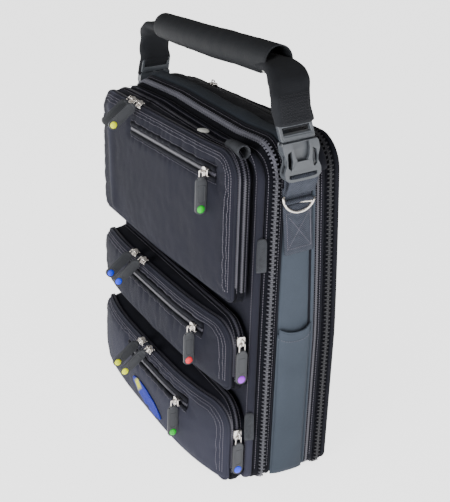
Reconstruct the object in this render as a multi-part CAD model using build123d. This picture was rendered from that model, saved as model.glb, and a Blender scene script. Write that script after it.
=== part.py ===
"""Flight bag: a centre section with a front and a rear cap joined by full-round ring zippers,
three stacked front pockets with doors, and a padded handle on side-release buckles.

Millimetres, +Z up. The origin is on the floor under the middle of the centre section.
-Y is the front with the pockets, +X is the right side.
"""
import os

from build123d import *

os.makedirs("parts", exist_ok=True)

# Bag body
HALF_W = 213.0          # half width of the body
HEIGHT = 440.0          # height of the body without the handle
R_TOP = 38.0            # upper corners
R_BASE = 12.0           # lower corners
WALL = 4.0              # padded gusset wall
FRONT_SPLIT = -47.0     # front edge of the centre section
REAR_SPLIT = 53.0       # rear edge of the centre section
SPLIT_GAP = 0.5         # gap between each cap and the centre section
REAR_BACK = 67.0        # outer face of the rear cap

# Bands that run round the gusset, each as (front edge, rear edge)
FRONT_TAPE = (-47.0, -24.0)
FRONT_CHAIN = (-39.6, -30.4)
PIPING = (22.5, 28.5)
COIL_TAPE = (28.8, 34.0)
DARK_BAND = (34.2, 41.0)
REAR_TAPE = (41.2, 53.0)
REAR_CHAIN = (43.0, 51.5)
BAND_END_Z = 14.0       # the bands stop above the base

# Front cap
PANEL_FRONT = -52.0     # front face of the cap's panel
PANEL_THICK = 3.0
SLIP_FRONT = -58.5      # front face of the slip pocket behind the top pocket
POCKET_HALF_W = 200.0
POCKET_WALL = 3.0
POCKET_R = 30.0
DOOR_THICK = 3.0
DOOR_GAP = 0.4
ZIP_RIB = 2.0           # how far a pocket zipper stands proud
ZIP_WIDE = 6.0

# Pockets: bottom, top, door front face, back of the walls, face zipper height and span,
# face slider, rim sliders
POCKETS = {
    "top": dict(z0=251.0, z1=430.0, front=-90.0, back=-58.8, face_z=398.0,
                face_x=(-70.0, 164.0), face_slider=151.0, rim=(-78.0, -52.0)),
    "mid": dict(z0=134.0, z1=219.0, front=-96.5, back=-52.3, face_z=196.0,
                face_x=(-66.0, 152.0), face_slider=139.0, rim=(-56.0, -24.0)),
    "bottom": dict(z0=2.0, z1=107.0, front=-107.5, back=-52.3, face_z=80.0,
                   face_x=(-50.0, 130.0), face_slider=116.0, rim=(-2.0, 26.0)),
}
SIDE_ZIP_Y = -66.0      # second zipper on the pocket sides
SIDE_SLIDERS = {"mid": 200.0, "bottom": 71.0}

# Zipper slider and its pull
BLOCK_LONG, BLOCK_WIDE, BLOCK_HIGH = 14.0, 11.0, 4.5
BAR_R = 0.9             # bridge bar on the slider
BAR_RISE = 3.8          # bar axis above the slider's face
BAR_LONG = 8.0
WIRE = 1.6              # metal link
LINK_LONG = 13.0
TAB_LONG, TAB_WIDE, TAB_THICK = 42.0, 14.0, 3.0
DOT_R = 3.2
RIM_TILT = 40.0         # the rim sliders face up and forwards over the pocket's edge
RIM_PULL_SWING = 50.0   # and their pulls stick out forwards, this far up from hanging

# Side hardware
WEB_HALF = 19.0         # half of the 38 mm webbing
WEB_THICK = 2.2
WEB_LOW_Z = 309.0
RING_Z = 373.0          # D-ring bar
RING_Y = -8.0
WEB_LEAN = 6.0          # the webbing leans forwards as it rises
RING_X = 219.6
RING_WIRE_R = 2.0
RING_HALF = 22.5
RING_DROP = 20.0
SOCKET_Z = (400.0, 447.0)
SOCKET_X = (217.4, 231.0)
SOCKET_HALF = 26.5
LOOP_LOW_Z = 388.0
HANDLE_LEAN = 6.0
PIVOT_Z = 392.0

# Handle
GRIP_Z = 521.0
GRIP_R = 20.5
GRIP_BORE_R = 18.2
GRIP_HALF = 168.0
CORE_HALF = 145.0
STRAP_X = 228.0
STRAP_THICK = 8.0
STRAP_LOW_Z = 452.0
BEND_R = 45.0

# Side pockets
SLIP_TOP_Z = 208.0
SLIP_HALF_Y = 21.5
SLIP_GAP = 6.2
SLIP_SKIN = 2.4


def slab(x0, x1, y0, y1, z0, z1):
    """A box between two corners."""
    centre = ((x0 + x1) / 2, (y0 + y1) / 2, (z0 + z1) / 2)
    return Pos(*centre) * Box(abs(x1 - x0), abs(y1 - y0), abs(z1 - z0))


def outline(half_w, z0, z1, r_top, r_base):
    """A rectangle in the XZ plane with one radius at the top and another at the base."""
    face = Rectangle(2 * half_w, z1 - z0)
    face = fillet(face.vertices().group_by(Axis.Y)[-1], r_top)
    face = fillet(face.vertices().group_by(Axis.Y)[0], r_base)
    return Plane.XZ * (Pos(0, (z0 + z1) / 2) * face)


def plate(half_w, z0, z1, r_top, r_base, y0, y1):
    """That outline made solid between two Y positions."""
    return Pos(0, y1, 0) * extrude(outline(half_w, z0, z1, r_top, r_base), amount=y1 - y0)


def hoop(half_w, z0, z1, r_top, r_base, thick, y0, y1):
    """A closed band of even thickness around the same outline."""
    inner = plate(half_w - thick, z0 + thick, z1 - thick,
                  max(r_top - thick, 0.5), max(r_base - thick, 0.5), y0 - 1, y1 + 1)
    return plate(half_w, z0, z1, r_top, r_base, y0, y1) - inner


def arch(half_w, z1, r_top, proud, y0, y1, low_z):
    """An open band standing proud of an outline, down both sides to low_z."""
    band = hoop(half_w + proud, -40, z1 + proud, r_top + proud, 5, proud, y0, y1)
    return band - slab(-400, 400, y0 - 5, y1 + 5, -60, low_z)


def save(name, *solids):
    """Write one node, holding one or more separate solids."""
    solids = list(solids)
    shape = solids[0] if len(solids) == 1 else Compound(children=solids)
    export_step(shape, f"parts/{name}.step")


def leaning(shape, angle, z):
    """The same piece tipped forwards about a line along X at a height."""
    return Pos(0, RING_Y, z) * Rot(angle, 0, 0) * Pos(0, 0, -z) * shape


def mirrored(shape):
    """The same piece on the other side of the bag."""
    return mirror(shape, about=Plane.YZ)


# Centre section -------------------------------------------------------------
# the padded band, in a base, two sides and a top that meet edge to edge
gusset = hoop(HALF_W, 0, HEIGHT, R_TOP, R_BASE, WALL, FRONT_SPLIT, REAR_SPLIT)
SIDE_Z = (20.0, HEIGHT - R_TOP)
save("gusset_base", gusset & slab(-300, 300, -99, 99, -1, SIDE_Z[0]))
save("gusset_right", gusset & slab(100, 300, -99, 99, *SIDE_Z))
save("gusset_left", gusset & slab(-300, -100, -99, 99, *SIDE_Z))
save("gusset_top", gusset & slab(-300, 300, -99, 99, SIDE_Z[1], 500))

# padded roll along the top, between the two ring zippers
roll = slab(-185, 150, -12, 22, HEIGHT + 0.1, HEIGHT + 9)
roll = fillet(roll.edges().filter_by(Axis.X).group_by(Axis.Z)[-1], 7)
save("top_roll", roll)


def ring_zip(name, tape, chain):
    """Tape with the tooth chain standing on it."""
    cloth = arch(HALF_W, HEIGHT, R_TOP, 1.0, tape[0], tape[1], BAND_END_Z)
    teeth = arch(HALF_W + 1.0, HEIGHT + 1.0, R_TOP + 1.0, 2.6, chain[0], chain[1], BAND_END_Z)
    save(name, cloth, teeth)


ring_zip("front_ring_zip", FRONT_TAPE, FRONT_CHAIN)
ring_zip("rear_ring_zip", REAR_TAPE, REAR_CHAIN)
save("piping", arch(HALF_W, HEIGHT, R_TOP, 3.0, *PIPING, BAND_END_Z))
save("coil_zip", arch(HALF_W, HEIGHT, R_TOP, 1.8, *COIL_TAPE, BAND_END_Z))
save("dark_band", arch(HALF_W, HEIGHT, R_TOP, 1.2, *DARK_BAND, BAND_END_Z))

# slip pockets on both sides, open at the top
outer_x = HALF_W + SLIP_GAP + SLIP_SKIN
side_pocket = slab(HALF_W, outer_x, -SLIP_HALF_Y, SLIP_HALF_Y, 15, SLIP_TOP_Z)
side_pocket -= slab(HALF_W - 1, HALF_W + SLIP_GAP, -SLIP_HALF_Y + 2.4, SLIP_HALF_Y - 2.4,
                    18, SLIP_TOP_Z + 1)
hem = slab(outer_x - 0.5, outer_x + 1.4, -SLIP_HALF_Y, SLIP_HALF_Y, SLIP_TOP_Z - 11, SLIP_TOP_Z)
side_pocket += hem
save("side_pockets", side_pocket, mirrored(side_pocket))

# webbing sewn up each side, with a keeper turned round the D-ring's bar
web = slab(HALF_W + 0.1, HALF_W + 0.1 + WEB_THICK, -WEB_HALF, WEB_HALF, WEB_LOW_Z, 396)
keeper_axis = Pos(RING_X, 0, RING_Z) * Rot(90, 0, 0)
keeper = keeper_axis * Cylinder(RING_WIRE_R + 0.06 + WEB_THICK, 2 * WEB_HALF)
keeper -= keeper_axis * Cylinder(RING_WIRE_R + 0.06, 2 * WEB_HALF + 2)
web_right = leaning(web + keeper, WEB_LEAN, RING_Z)
# it steps up where it crosses onto the zipper tape
web_right -= slab(HALF_W - 1, HALF_W + 1.15, -60, FRONT_TAPE[1] + 0.3, 300, 420)
save("side_webbing", web_right, mirrored(web_right))

# D-rings: straight bar through the keeper, bow below it
bow_path = Plane((RING_X, 0, RING_Z), x_dir=(0, 1, 0), z_dir=(1, 0, 0))
ring_face = Rectangle(2 * RING_HALF, 14) + Pos(0, -7) * Ellipse(RING_HALF, RING_DROP - 7)
ring_hole = Rectangle(2 * RING_HALF - 4 * RING_WIRE_R, 14 - 4 * RING_WIRE_R)
ring_hole += Pos(0, -5) * Ellipse(RING_HALF - 2 * RING_WIRE_R, RING_DROP - 9)
ring_face = Pos(0, -7 + RING_WIRE_R) * ring_face
ring_hole = Pos(0, -7 + RING_WIRE_R) * ring_hole
bow = extrude(bow_path * (ring_face - ring_hole), amount=1.9, both=True)
bow -= slab(RING_X - 9, RING_X + 9, -RING_HALF + 2.5, RING_HALF - 2.5, RING_Z - 4.6, RING_Z + 9)
bar = keeper_axis * Cylinder(RING_WIRE_R, 2 * RING_HALF - 2)
d_ring = leaning(bow + bar, WEB_LEAN, RING_Z)
save("d_ring_right", d_ring)
save("d_ring_left", mirrored(d_ring))

# Front cap ------------------------------------------------------------------
front_panel = plate(HALF_W, 1, HEIGHT, R_TOP, R_BASE, PANEL_FRONT, PANEL_FRONT + PANEL_THICK)
front_panel += hoop(HALF_W, 1, HEIGHT, R_TOP, R_BASE, 3, PANEL_FRONT, FRONT_SPLIT - SPLIT_GAP)
save("front_panel", front_panel)

# flat slip pocket behind the top pocket, open at the top, closed with a press stud
slip = slab(-196, 196, SLIP_FRONT, PANEL_FRONT, 250, 424)
slip -= slab(-193, 193, SLIP_FRONT + 1.5, PANEL_FRONT + 1, 253, 430)
save("front_slip", slip)
stud = Pos(82, PANEL_FRONT - 0.8, 431) * Rot(90, 0, 0) * Cylinder(6, 1.4)
save("press_stud", stud)

tabs = [
    slab(124, 170, PANEL_FRONT - 5.4, PANEL_FRONT - 0.1, 425.5, 437),
    slab(HALF_W + 0.1, HALF_W + 4, PANEL_FRONT, FRONT_SPLIT - 0.8, 290, 330),
    slab(HALF_W + 0.1, HALF_W + 4, PANEL_FRONT, FRONT_SPLIT - 0.8, 67, 103),
]
save("grab_tabs", *tabs)

for name, p in POCKETS.items():
    # walls of the pocket, open at the front where the door closes it
    door_back = p["front"] + DOOR_THICK
    save(f"{name}_pocket", hoop(POCKET_HALF_W, p["z0"], p["z1"], POCKET_R, 6, POCKET_WALL,
                                door_back + DOOR_GAP, p["back"]))
    # the door, with the rim zipper round three edges and the face zipper across it
    door = plate(POCKET_HALF_W, p["z0"], p["z1"], POCKET_R, 6, p["front"], door_back)
    save(f"{name}_door", door)
    rim = arch(POCKET_HALF_W, p["z1"], POCKET_R, ZIP_RIB,
               p["front"] - 0.5, p["front"] - 0.5 + ZIP_WIDE - 2, p["z0"] + 14)
    face = slab(*p["face_x"], p["front"] - ZIP_RIB, p["front"],
                p["face_z"] - ZIP_WIDE / 2, p["face_z"] + ZIP_WIDE / 2)
    save(f"{name}_door_zips", rim, face)

side_zips = []
for name in SIDE_SLIDERS:
    p = POCKETS[name]
    rib = slab(POCKET_HALF_W, POCKET_HALF_W + ZIP_RIB, SIDE_ZIP_Y - 3, SIDE_ZIP_Y + 3,
               p["z0"] + 8, p["z1"] - POCKET_R)
    side_zips.append(rib)
save("side_zips", *side_zips)

patch = slab(-28, 68, POCKETS["bottom"]["front"] - 0.9, POCKETS["bottom"]["front"], 16, 52)
save("woven_patch", patch)

# Rear cap -------------------------------------------------------------------
rear = hoop(HALF_W, 0, HEIGHT, R_TOP, R_BASE, 3, REAR_SPLIT + SPLIT_GAP, REAR_BACK)
rear += plate(HALF_W, 0, HEIGHT, R_TOP, R_BASE, REAR_BACK - 4, REAR_BACK)
save("rear_cap", rear)


# Sliders and pulls ----------------------------------------------------------
def slider():
    """Slider lying on the XY plane, travel along X, with a bridge bar above it."""
    block = Pos(0, 0, BLOCK_HIGH / 2) * Box(BLOCK_LONG, BLOCK_WIDE, BLOCK_HIGH)
    block = fillet(block.edges().filter_by(Axis.Z), 3)
    axis_z = BLOCK_HIGH + BAR_RISE
    bridge = Pos(0, 0, axis_z) * Rot(0, 90, 0) * Cylinder(BAR_R, BAR_LONG)
    for end in (-1, 1):
        bridge += Pos(end * (BAR_LONG / 2 + 0.4), 0, axis_z / 2 + 0.45) * Box(2, 2.4, axis_z + 0.9)
    return block + bridge


def hanging_pull():
    """Link round a bar along X at the origin, with the rubber tab below it facing +X."""
    link = Pos(0, 0, -LINK_LONG / 2 + 2.9) * Box(WIRE, 6.2, LINK_LONG)
    link = fillet(link.edges().filter_by(Axis.X).group_by(Axis.Z)[-1], 2.5)
    link -= Pos(0, 0, -LINK_LONG / 2 + 2.9) * Box(WIRE + 1, 2.9, LINK_LONG - 2 * WIRE)
    top_z = 2.9 - LINK_LONG
    tab = Pos(0, 0, top_z - TAB_LONG / 2) * Box(TAB_THICK, TAB_WIDE, TAB_LONG)
    tab = fillet(tab.edges().filter_by(Axis.X), 5)
    dot_z = top_z - TAB_LONG + 8
    dot = Pos(TAB_THICK / 2 + 0.35, 0, dot_z) * Rot(0, 90, 0) * Cylinder(DOT_R, 0.7)
    return link, tab, dot


def side_pull():
    """Link turning about Y at the origin, with the rubber tab hanging below it."""
    link = Pos(0, 0, -LINK_LONG / 2 + 0.8) * Box(WIRE, 9, LINK_LONG)
    link -= Pos(0, 0, -LINK_LONG / 2 + 0.8) * Box(WIRE + 1, 5.8, LINK_LONG - 2 * WIRE)
    top_z = 0.8 - LINK_LONG
    tab = Pos(0, 0, top_z - TAB_LONG / 2) * Box(TAB_THICK, TAB_WIDE, TAB_LONG)
    tab = fillet(tab.edges().filter_by(Axis.X), 5)
    dot = Pos(TAB_THICK / 2 + 0.35, 0, top_z - TAB_LONG + 8) * Rot(0, 90, 0) * Cylinder(DOT_R, 0.7)
    return link, tab, dot


CLEAR = 0.35            # between a slider and the chain it rides
AXIS_UP = BLOCK_HIGH + BAR_RISE

for name, p in POCKETS.items():
    # slider on the face zipper: its back lies on the chain, its bar points forwards
    y_face = p["front"] - ZIP_RIB - CLEAR
    place = Pos(p["face_slider"], y_face, p["face_z"]) * Rot(90, 0, 0)
    save(f"{name}_face_slider", place * slider())
    hang = Pos(p["face_slider"], y_face - AXIS_UP, p["face_z"])
    save(f"{name}_face_pull", *[hang * s for s in hanging_pull()])
    # a pair of sliders on the edge over the top run of the rim zipper
    on_edge = Pos(0, p["front"] - 0.5, p["z1"] + ZIP_RIB) * Rot(RIM_TILT, 0, 0) * Pos(0, 0, CLEAR)
    for side, x in zip(("left", "right"), p["rim"]):
        save(f"{name}_rim_slider_{side}", on_edge * Pos(x, 0, 0) * slider())
        hang = on_edge * Pos(x, 0, AXIS_UP) * Rot(-RIM_TILT - RIM_PULL_SWING, 0, 0)
        save(f"{name}_rim_pull_{side}", *[hang * s for s in hanging_pull()])

for name, z in SIDE_SLIDERS.items():
    x_side = POCKET_HALF_W + ZIP_RIB + CLEAR
    place = Pos(x_side, SIDE_ZIP_Y, z) * Rot(0, 90, 0)
    save(f"{name}_side_slider", place * slider())
    hang = Pos(x_side + BLOCK_HIGH + 1.25, SIDE_ZIP_Y, z - 2.2)
    save(f"{name}_side_pull", *[hang * s for s in side_pull()])

# slider of the rear ring zipper, on top of the bag
REAR_SLIDER_X = -90.0
y_ring = (REAR_CHAIN[0] + REAR_CHAIN[1]) / 2
z_ring = HEIGHT + 1.0 + 2.6 + CLEAR
save("rear_slider", Pos(REAR_SLIDER_X, y_ring, z_ring) * slider())

# Buckles and handle -----------------------------------------------------------
socket = slab(*SOCKET_X, -SOCKET_HALF, SOCKET_HALF, *SOCKET_Z)
socket = fillet(socket.edges().filter_by(Axis.X).group_by(Axis.Z)[0], 9)
socket -= slab(SOCKET_X[0] + 2.4, SOCKET_X[1] - 2.4, -22, 22, 413, SOCKET_Z[1] + 1)
socket -= slab(SOCKET_X[1] - 3, SOCKET_X[1] + 1, -9, 9, 426, SOCKET_Z[1] + 1)
for side in (-1, 1):
    socket -= Pos(SOCKET_X[0] + 6.8, side * 24, 429) * Box(7, 8, 18)
socket -= slab(SOCKET_X[0] - 1, SOCKET_X[1] + 1, -20, 20, 404, 409)
socket = leaning(socket, HANDLE_LEAN, PIVOT_Z)
save("buckle_sockets", socket, mirrored(socket))

loop = slab(SOCKET_X[0] - 0.7, SOCKET_X[0] - 0.1, -18, 18, LOOP_LOW_Z, 404)
loop += slab(SOCKET_X[0] - 0.7, SOCKET_X[1] - 4, -18, 18, 404.4, 406.4)
loop = leaning(loop, HANDLE_LEAN, PIVOT_Z)
save("loop_webbing", loop, mirrored(loop))

# male half: bar frame above, centre guide and two prongs inside the socket
plug_x = (SOCKET_X[0] + 2.9, SOCKET_X[1] - 2.9)
plug = slab(*plug_x, -23, 23, SOCKET_Z[1] + 0.4, 468)
plug -= slab(plug_x[0] - 1, plug_x[1] + 1, -20, 20, 455, 463)
plug += slab(*plug_x, -3, 3, 416, SOCKET_Z[1] + 1)
for side in (-1, 1):
    plug += slab(*plug_x, side * 16, side * 21.5, 416, SOCKET_Z[1] + 1)
plug = leaning(plug, HANDLE_LEAN, PIVOT_Z)
save("buckle_plugs", plug, mirrored(plug))

# straps: up from the plug, bent in and on into the grip
centre = (STRAP_X - BEND_R, GRIP_Z - BEND_R)
bend = Circle(BEND_R + STRAP_THICK / 2) - Circle(BEND_R - STRAP_THICK / 2)
bend &= Pos(50, 50) * Rectangle(100, 100)
strap_face = Pos(*centre) * bend
strap_face += Pos(STRAP_X, (468.4 + centre[1]) / 2) * Rectangle(STRAP_THICK, centre[1] - 468.4 + 0.02)
strap_face += Pos((CORE_HALF + 0.4 + centre[0]) / 2, GRIP_Z) * Rectangle(
    centre[0] - CORE_HALF - 0.4 + 0.01, STRAP_THICK)
strap = Pos(0, 17, 0) * extrude(Plane.XZ * strap_face, amount=34)
strap = leaning(strap, HANDLE_LEAN, PIVOT_Z)
save("handle_straps", strap, mirrored(strap))

along_x = Pos(0, 0, GRIP_Z) * Rot(0, 90, 0)
core = along_x * Cylinder(GRIP_BORE_R - 0.1, 2 * CORE_HALF)
save("grip_core", leaning(core, HANDLE_LEAN, PIVOT_Z))
wrap = along_x * Cylinder(GRIP_R, 2 * GRIP_HALF) - along_x * Cylinder(GRIP_BORE_R, 2 * GRIP_HALF + 2)
save("grip_wrap", leaning(wrap, HANDLE_LEAN, PIVOT_Z))
rivets = []
for x in (-GRIP_HALF + 8, GRIP_HALF - 8):
    rivet = Pos(x, -GRIP_R - 0.6, GRIP_Z) * Rot(90, 0, 0) * Cylinder(2.4, 1.2)
    rivets.append(leaning(rivet, HANDLE_LEAN, PIVOT_Z))
save("grip_rivets", *rivets)
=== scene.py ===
# %% [markdown]
# # A soft flight bag
# The bag is a padded centre section with a front and a rear cap zipped to it, three stacked front
# pockets, and a padded handle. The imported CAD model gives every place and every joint. Here each cloth,
# zipper and metal piece gets its real shape and finish, in the same frame, in metres.

# %% Load the frame
import math

import bmesh
import bpy
from mathutils import Matrix, Vector, noise
from mathutils.bvhtree import BVHTree


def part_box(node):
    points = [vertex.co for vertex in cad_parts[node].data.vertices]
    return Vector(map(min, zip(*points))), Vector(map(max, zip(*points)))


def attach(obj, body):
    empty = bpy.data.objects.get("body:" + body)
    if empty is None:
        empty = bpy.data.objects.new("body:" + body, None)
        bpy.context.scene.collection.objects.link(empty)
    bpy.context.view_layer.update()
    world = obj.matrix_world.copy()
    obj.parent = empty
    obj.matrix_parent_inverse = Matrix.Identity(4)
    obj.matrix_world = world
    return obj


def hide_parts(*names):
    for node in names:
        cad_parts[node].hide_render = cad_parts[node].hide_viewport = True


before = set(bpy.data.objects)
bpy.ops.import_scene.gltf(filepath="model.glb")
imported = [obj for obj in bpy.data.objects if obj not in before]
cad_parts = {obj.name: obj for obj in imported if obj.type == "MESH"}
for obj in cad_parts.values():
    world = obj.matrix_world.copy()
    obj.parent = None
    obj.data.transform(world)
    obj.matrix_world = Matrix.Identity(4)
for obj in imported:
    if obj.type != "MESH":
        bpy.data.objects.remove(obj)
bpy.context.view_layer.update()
MM = 0.001

# %% [markdown]
# ## Camera, light and floor
# The bag was looked at from its front right corner, a little from above. The camera is set with an
# azimuth, an elevation and a small roll about its own axis, so that each can be changed on its own.

# %% Camera
AZIMUTH, ELEVATION, ROLL = 62.82, 21.40, 1.81
TARGET = Vector((94.15, -34.56, 270.76)) * MM
DISTANCE = 1.11233
az, el, roll = (math.radians(v) for v in (AZIMUTH, ELEVATION, ROLL))
back = Vector((math.sin(az) * math.cos(el), -math.cos(az) * math.cos(el), math.sin(el)))
right = (-back).cross(Vector((0, 0, 1))).normalized()
up = right.cross(-back)
right, up = right * math.cos(roll) + up * math.sin(roll), up * math.cos(roll) - right * math.sin(roll)
camera = bpy.data.objects.new("camera", bpy.data.cameras.new("camera"))
camera.data.lens = 62.34
camera.data.clip_start = 0.05
camera.matrix_world = Matrix.Translation(TARGET + back * DISTANCE) @ Matrix(
    (right, up, back)).transposed().to_4x4()
bpy.context.scene.collection.objects.link(camera)
bpy.context.scene.camera = camera

# %% [markdown]
# ## Writing shader maths as sums
# A wrapped socket takes part in ordinary Python sums and adds the Math nodes for them, which keeps a
# material's recipe short enough to read.


# %% Shader helpers
class Num:
    """A number socket that can be used in sums."""

    def __init__(self, finish, socket):
        self.finish, self.socket = finish, socket

    def math(self, operation, *values):
        return self.finish.node("ShaderNodeMath", {"operation": operation}, *values).num("Value")

    def __add__(self, other): return self.math("ADD", self, other)
    def __radd__(self, other): return self.math("ADD", other, self)
    def __sub__(self, other): return self.math("SUBTRACT", self, other)
    def __rsub__(self, other): return self.math("SUBTRACT", other, self)
    def __mul__(self, other): return self.math("MULTIPLY", self, other)
    def __rmul__(self, other): return self.math("MULTIPLY", other, self)
    def __truediv__(self, other): return self.math("DIVIDE", self, other)
    def sin(self): return self.math("SINE", self)
    def abs(self): return self.math("ABSOLUTE", self)
    def power(self, other): return self.math("POWER", self, other)
    def clamp(self): return self.math("MINIMUM", self.math("MAXIMUM", self, 0.0), 1.0)


class NodeOut:
    """One shader node, whose outputs are asked for by name."""

    def __init__(self, finish, node):
        self.finish, self.bl = finish, node

    def num(self, name):
        return Num(self.finish, self.bl.outputs[name])

    def out(self, name):
        return self.bl.outputs[name]


class Finish:
    """A material with its Principled shader."""

    def __init__(self, name, color, roughness, **constants):
        self.material = bpy.data.materials.new(name)
        self.material.use_nodes = True
        self.tree = self.material.node_tree
        self.shader = next(n for n in self.tree.nodes if n.type == "BSDF_PRINCIPLED")
        self.shader.inputs["Base Color"].default_value = (*color, 1)
        self.shader.inputs["Roughness"].default_value = roughness
        for key, value in constants.items():
            self.shader.inputs[key.replace("_", " ")].default_value = value
        self.color = color
        self.coords = self.node("ShaderNodeTexCoord", {})

    def node(self, kind, settings, *values, **named):
        """Any node: its settings first, then values or links for its sockets in order or by name."""
        node = self.tree.nodes.new(kind)
        for key, value in settings.items():
            setattr(node, key, value)
        sockets = list(enumerate(values)) + [(key.replace("_", " "), v) for key, v in named.items()]
        for key, value in sockets:
            value = value.socket if isinstance(value, Num) else value
            if isinstance(value, bpy.types.NodeSocket):
                self.tree.links.new(value, node.inputs[key])
            else:
                node.inputs[key].default_value = value
        return NodeOut(self, node)

    def uv(self, axis):
        split = self.node("ShaderNodeSeparateXYZ", {}, self.coords.out("UV"))
        return split.num(axis)

    def place(self, axis):
        return self.node("ShaderNodeSeparateXYZ", {}, self.coords.out("Object")).num(axis)

    def noise(self, scale, detail=3.0, space="Object", rough=0.5):
        made = self.node("ShaderNodeTexNoise", {}, Vector=self.coords.out(space), Scale=scale,
                         Detail=detail, Roughness=rough)
        return made.num("Fac")

    def tint(self, amount, dark, light):
        """Base colour between a dark and a light shade."""
        mix = self.node("ShaderNodeMix", {"data_type": "RGBA"}, Factor=amount)
        mix.bl.inputs["A"].default_value = (*dark, 1)
        mix.bl.inputs["B"].default_value = (*light, 1)
        mix.bl.inputs[6].default_value = (*dark, 1)
        mix.bl.inputs[7].default_value = (*light, 1)
        self.tree.links.new(mix.bl.outputs[2], self.shader.inputs["Base Color"])

    def rough(self, value):
        self.tree.links.new(value.socket, self.shader.inputs["Roughness"])

    def bump(self, height, distance, strength=1.0):
        made = self.node("ShaderNodeBump", {}, Strength=strength, Distance=distance, Height=height)
        self.tree.links.new(made.out("Normal"), self.shader.inputs["Normal"])


def shade(color, factor):
    return tuple(min(1.0, c * factor) for c in color)


# %% [markdown]
# ## Cloth finishes
# Packcloth is a plain weave of thick nylon yarns with a soft shine. Its colour wavers a little where it is
# rubbed, and its yarns stand up as a fine bump. Painted shade darkens the lighter band cloth along the top of
# the bag, and painted highlights lighten a fold on the top door and the lowest door. Webbing is woven on a
# slant, so its ribs run diagonally.


# %% Cloth finishes
def nylon(name, color, light=1.35, roughness=0.7, yarn=1.1, sheen=0.03, wrinkle=0.0009, change=None):
    f = Finish(name, color, roughness, Sheen_Weight=sheen, Sheen_Roughness=0.45,
               Specular_IOR_Level=0.03)
    broad = f.noise(14.0, 4.0)
    grain = f.noise(900.0, 2.0)
    amount = (broad * 0.49 + grain * 0.33 + 0.27).clamp()
    if change:
        amount = change(f, amount).clamp()
    f.tint(amount, shade(color, 0.38), shade(color, light))
    f.rough(roughness - 0.1 + broad * 0.2)
    k = 2 * math.pi / (yarn * MM)
    weave = (f.uv("X") * k).sin() * (f.uv("Y") * k).sin()
    creases = f.noise(38.0, 3.0, rough=0.45)
    f.bump(weave * 0.06 + creases * (wrinkle * 1000) + grain * 0.10, 0.0011, 0.7)
    return f.material


def webbing(name, color, pitch=2.6, slant=1.0, roughness=0.7):
    f = Finish(name, color, roughness, Sheen_Weight=0.02, Specular_IOR_Level=0.03)
    k = 2 * math.pi / (pitch * MM)
    fold = (f.uv("Y") * (1000 / 9.5)).math("PINGPONG", f.uv("Y"), 0.0095)
    ribs = ((f.uv("X") + fold * slant) * k).sin()
    yarns = ((f.uv("Y")) * (2 * math.pi / (1.3 * MM))).sin()
    worn = f.noise(220.0, 4.0)
    f.tint((ribs * 0.28 + worn * 0.7 + 0.05).clamp(), shade(color, 0.55), shade(color, 1.5))
    f.bump(ribs * 0.5 + yarns * 0.22 + worn * 0.3, 0.0007, 0.9)
    return f.material


def painted_top_shade_and_darker_base(f, amount):
    """Painted shade: darker along the top, where less light falls, and a little darker towards the floor."""
    # painted shade along the top of the bag
    top = ((f.place("Z") - 0.408) * 60).clamp()
    base = ((0.20 - f.place("Z")) * 5.5).clamp()
    return amount * (1 - top * 0.80) * (1 - base * 0.42)


def painted_fold_and_door_highlights(f, amount):
    """Painted highlights: a lighter streak down a fold on the left of the top door, and a lighter lowest
    door.
    """
    # painted highlight streak down the fold
    off = (1 - (f.place("X") + 0.147 + (f.place("Z") - 0.33) * 0.12).abs() * 50).clamp()
    high = ((f.place("Z") - 0.275) * 30).clamp()
    # painted highlight over the lowest door
    lower_door_highlight = ((0.125 - f.place("Z")) * 14).clamp()
    return amount * 0.42 + off.power(2.0) * high * 0.42 + lower_door_highlight * 0.34 - high * 0.02


POCKET = (0.0150, 0.0154, 0.0222)
GUSSET = (0.050, 0.061, 0.078)
# the pocket cloth carries painted highlights; its light shade is set high so that they can reach it
pocket_cloth = nylon("pocket_nylon", POCKET, light=3.0, change=painted_fold_and_door_highlights)
# the gusset cloth carries painted shade along the top, and is a little darker towards the floor
gusset_cloth = nylon("gusset_nylon", GUSSET, light=1.3, change=painted_top_shade_and_darker_base)
black_cloth = nylon("black_nylon", (0.0085, 0.0088, 0.012), light=1.6)
lining_cloth = nylon("lining_nylon", (0.016, 0.017, 0.021), light=1.4, roughness=0.75, sheen=0.02)
strap_cloth = nylon("strap_cordura", (0.0112, 0.0118, 0.0135), light=1.9, roughness=0.72, yarn=1.6)
tape_cloth = webbing("zip_tape", (0.0065, 0.0068, 0.0105), pitch=1.4, slant=0.0)
tab_web = webbing("tab_webbing", (0.052, 0.055, 0.062), pitch=2.0)
side_web = webbing("side_webbing", (0.056, 0.062, 0.080))


# %% [markdown]
# ## Hard finishes
# The sliders and rings are nickel plated and rubbed bright on their edges. The tabs are moulded rubber,
# the buckle is grey acetal with a near-black plate inside as painted shade, and each tab carries a bright
# moulded button. The teeth of the front ring zipper carry a painted highlight: paler along the top, where
# the light falls on them.


# %% Hard finishes
# height in metres above which the tooth finish gets its painted highlight
TOP_FROM = 0.40


def moulded(name, color, roughness, grain=500.0, depth=0.0002, light=1.22, painted_lit_top=False, **constants):
    f = Finish(name, color, roughness, **constants)
    cloud = f.noise(60.0, 4.0)
    fine = f.noise(grain, 2.0)
    amount = cloud
    # painted highlight: the tint turns pale along the top, where the light falls
    if painted_lit_top:
        amount = 0.08 + cloud * 0.1 + ((f.place("Z") - TOP_FROM) * 50).clamp() * 0.8
    f.tint(amount, shade(color, 0.82), shade(color, light))
    f.rough(roughness - 0.08 + cloud * 0.16)
    f.bump(fine * 0.6 + cloud * 0.5, depth, 0.6)
    return f.material


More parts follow.
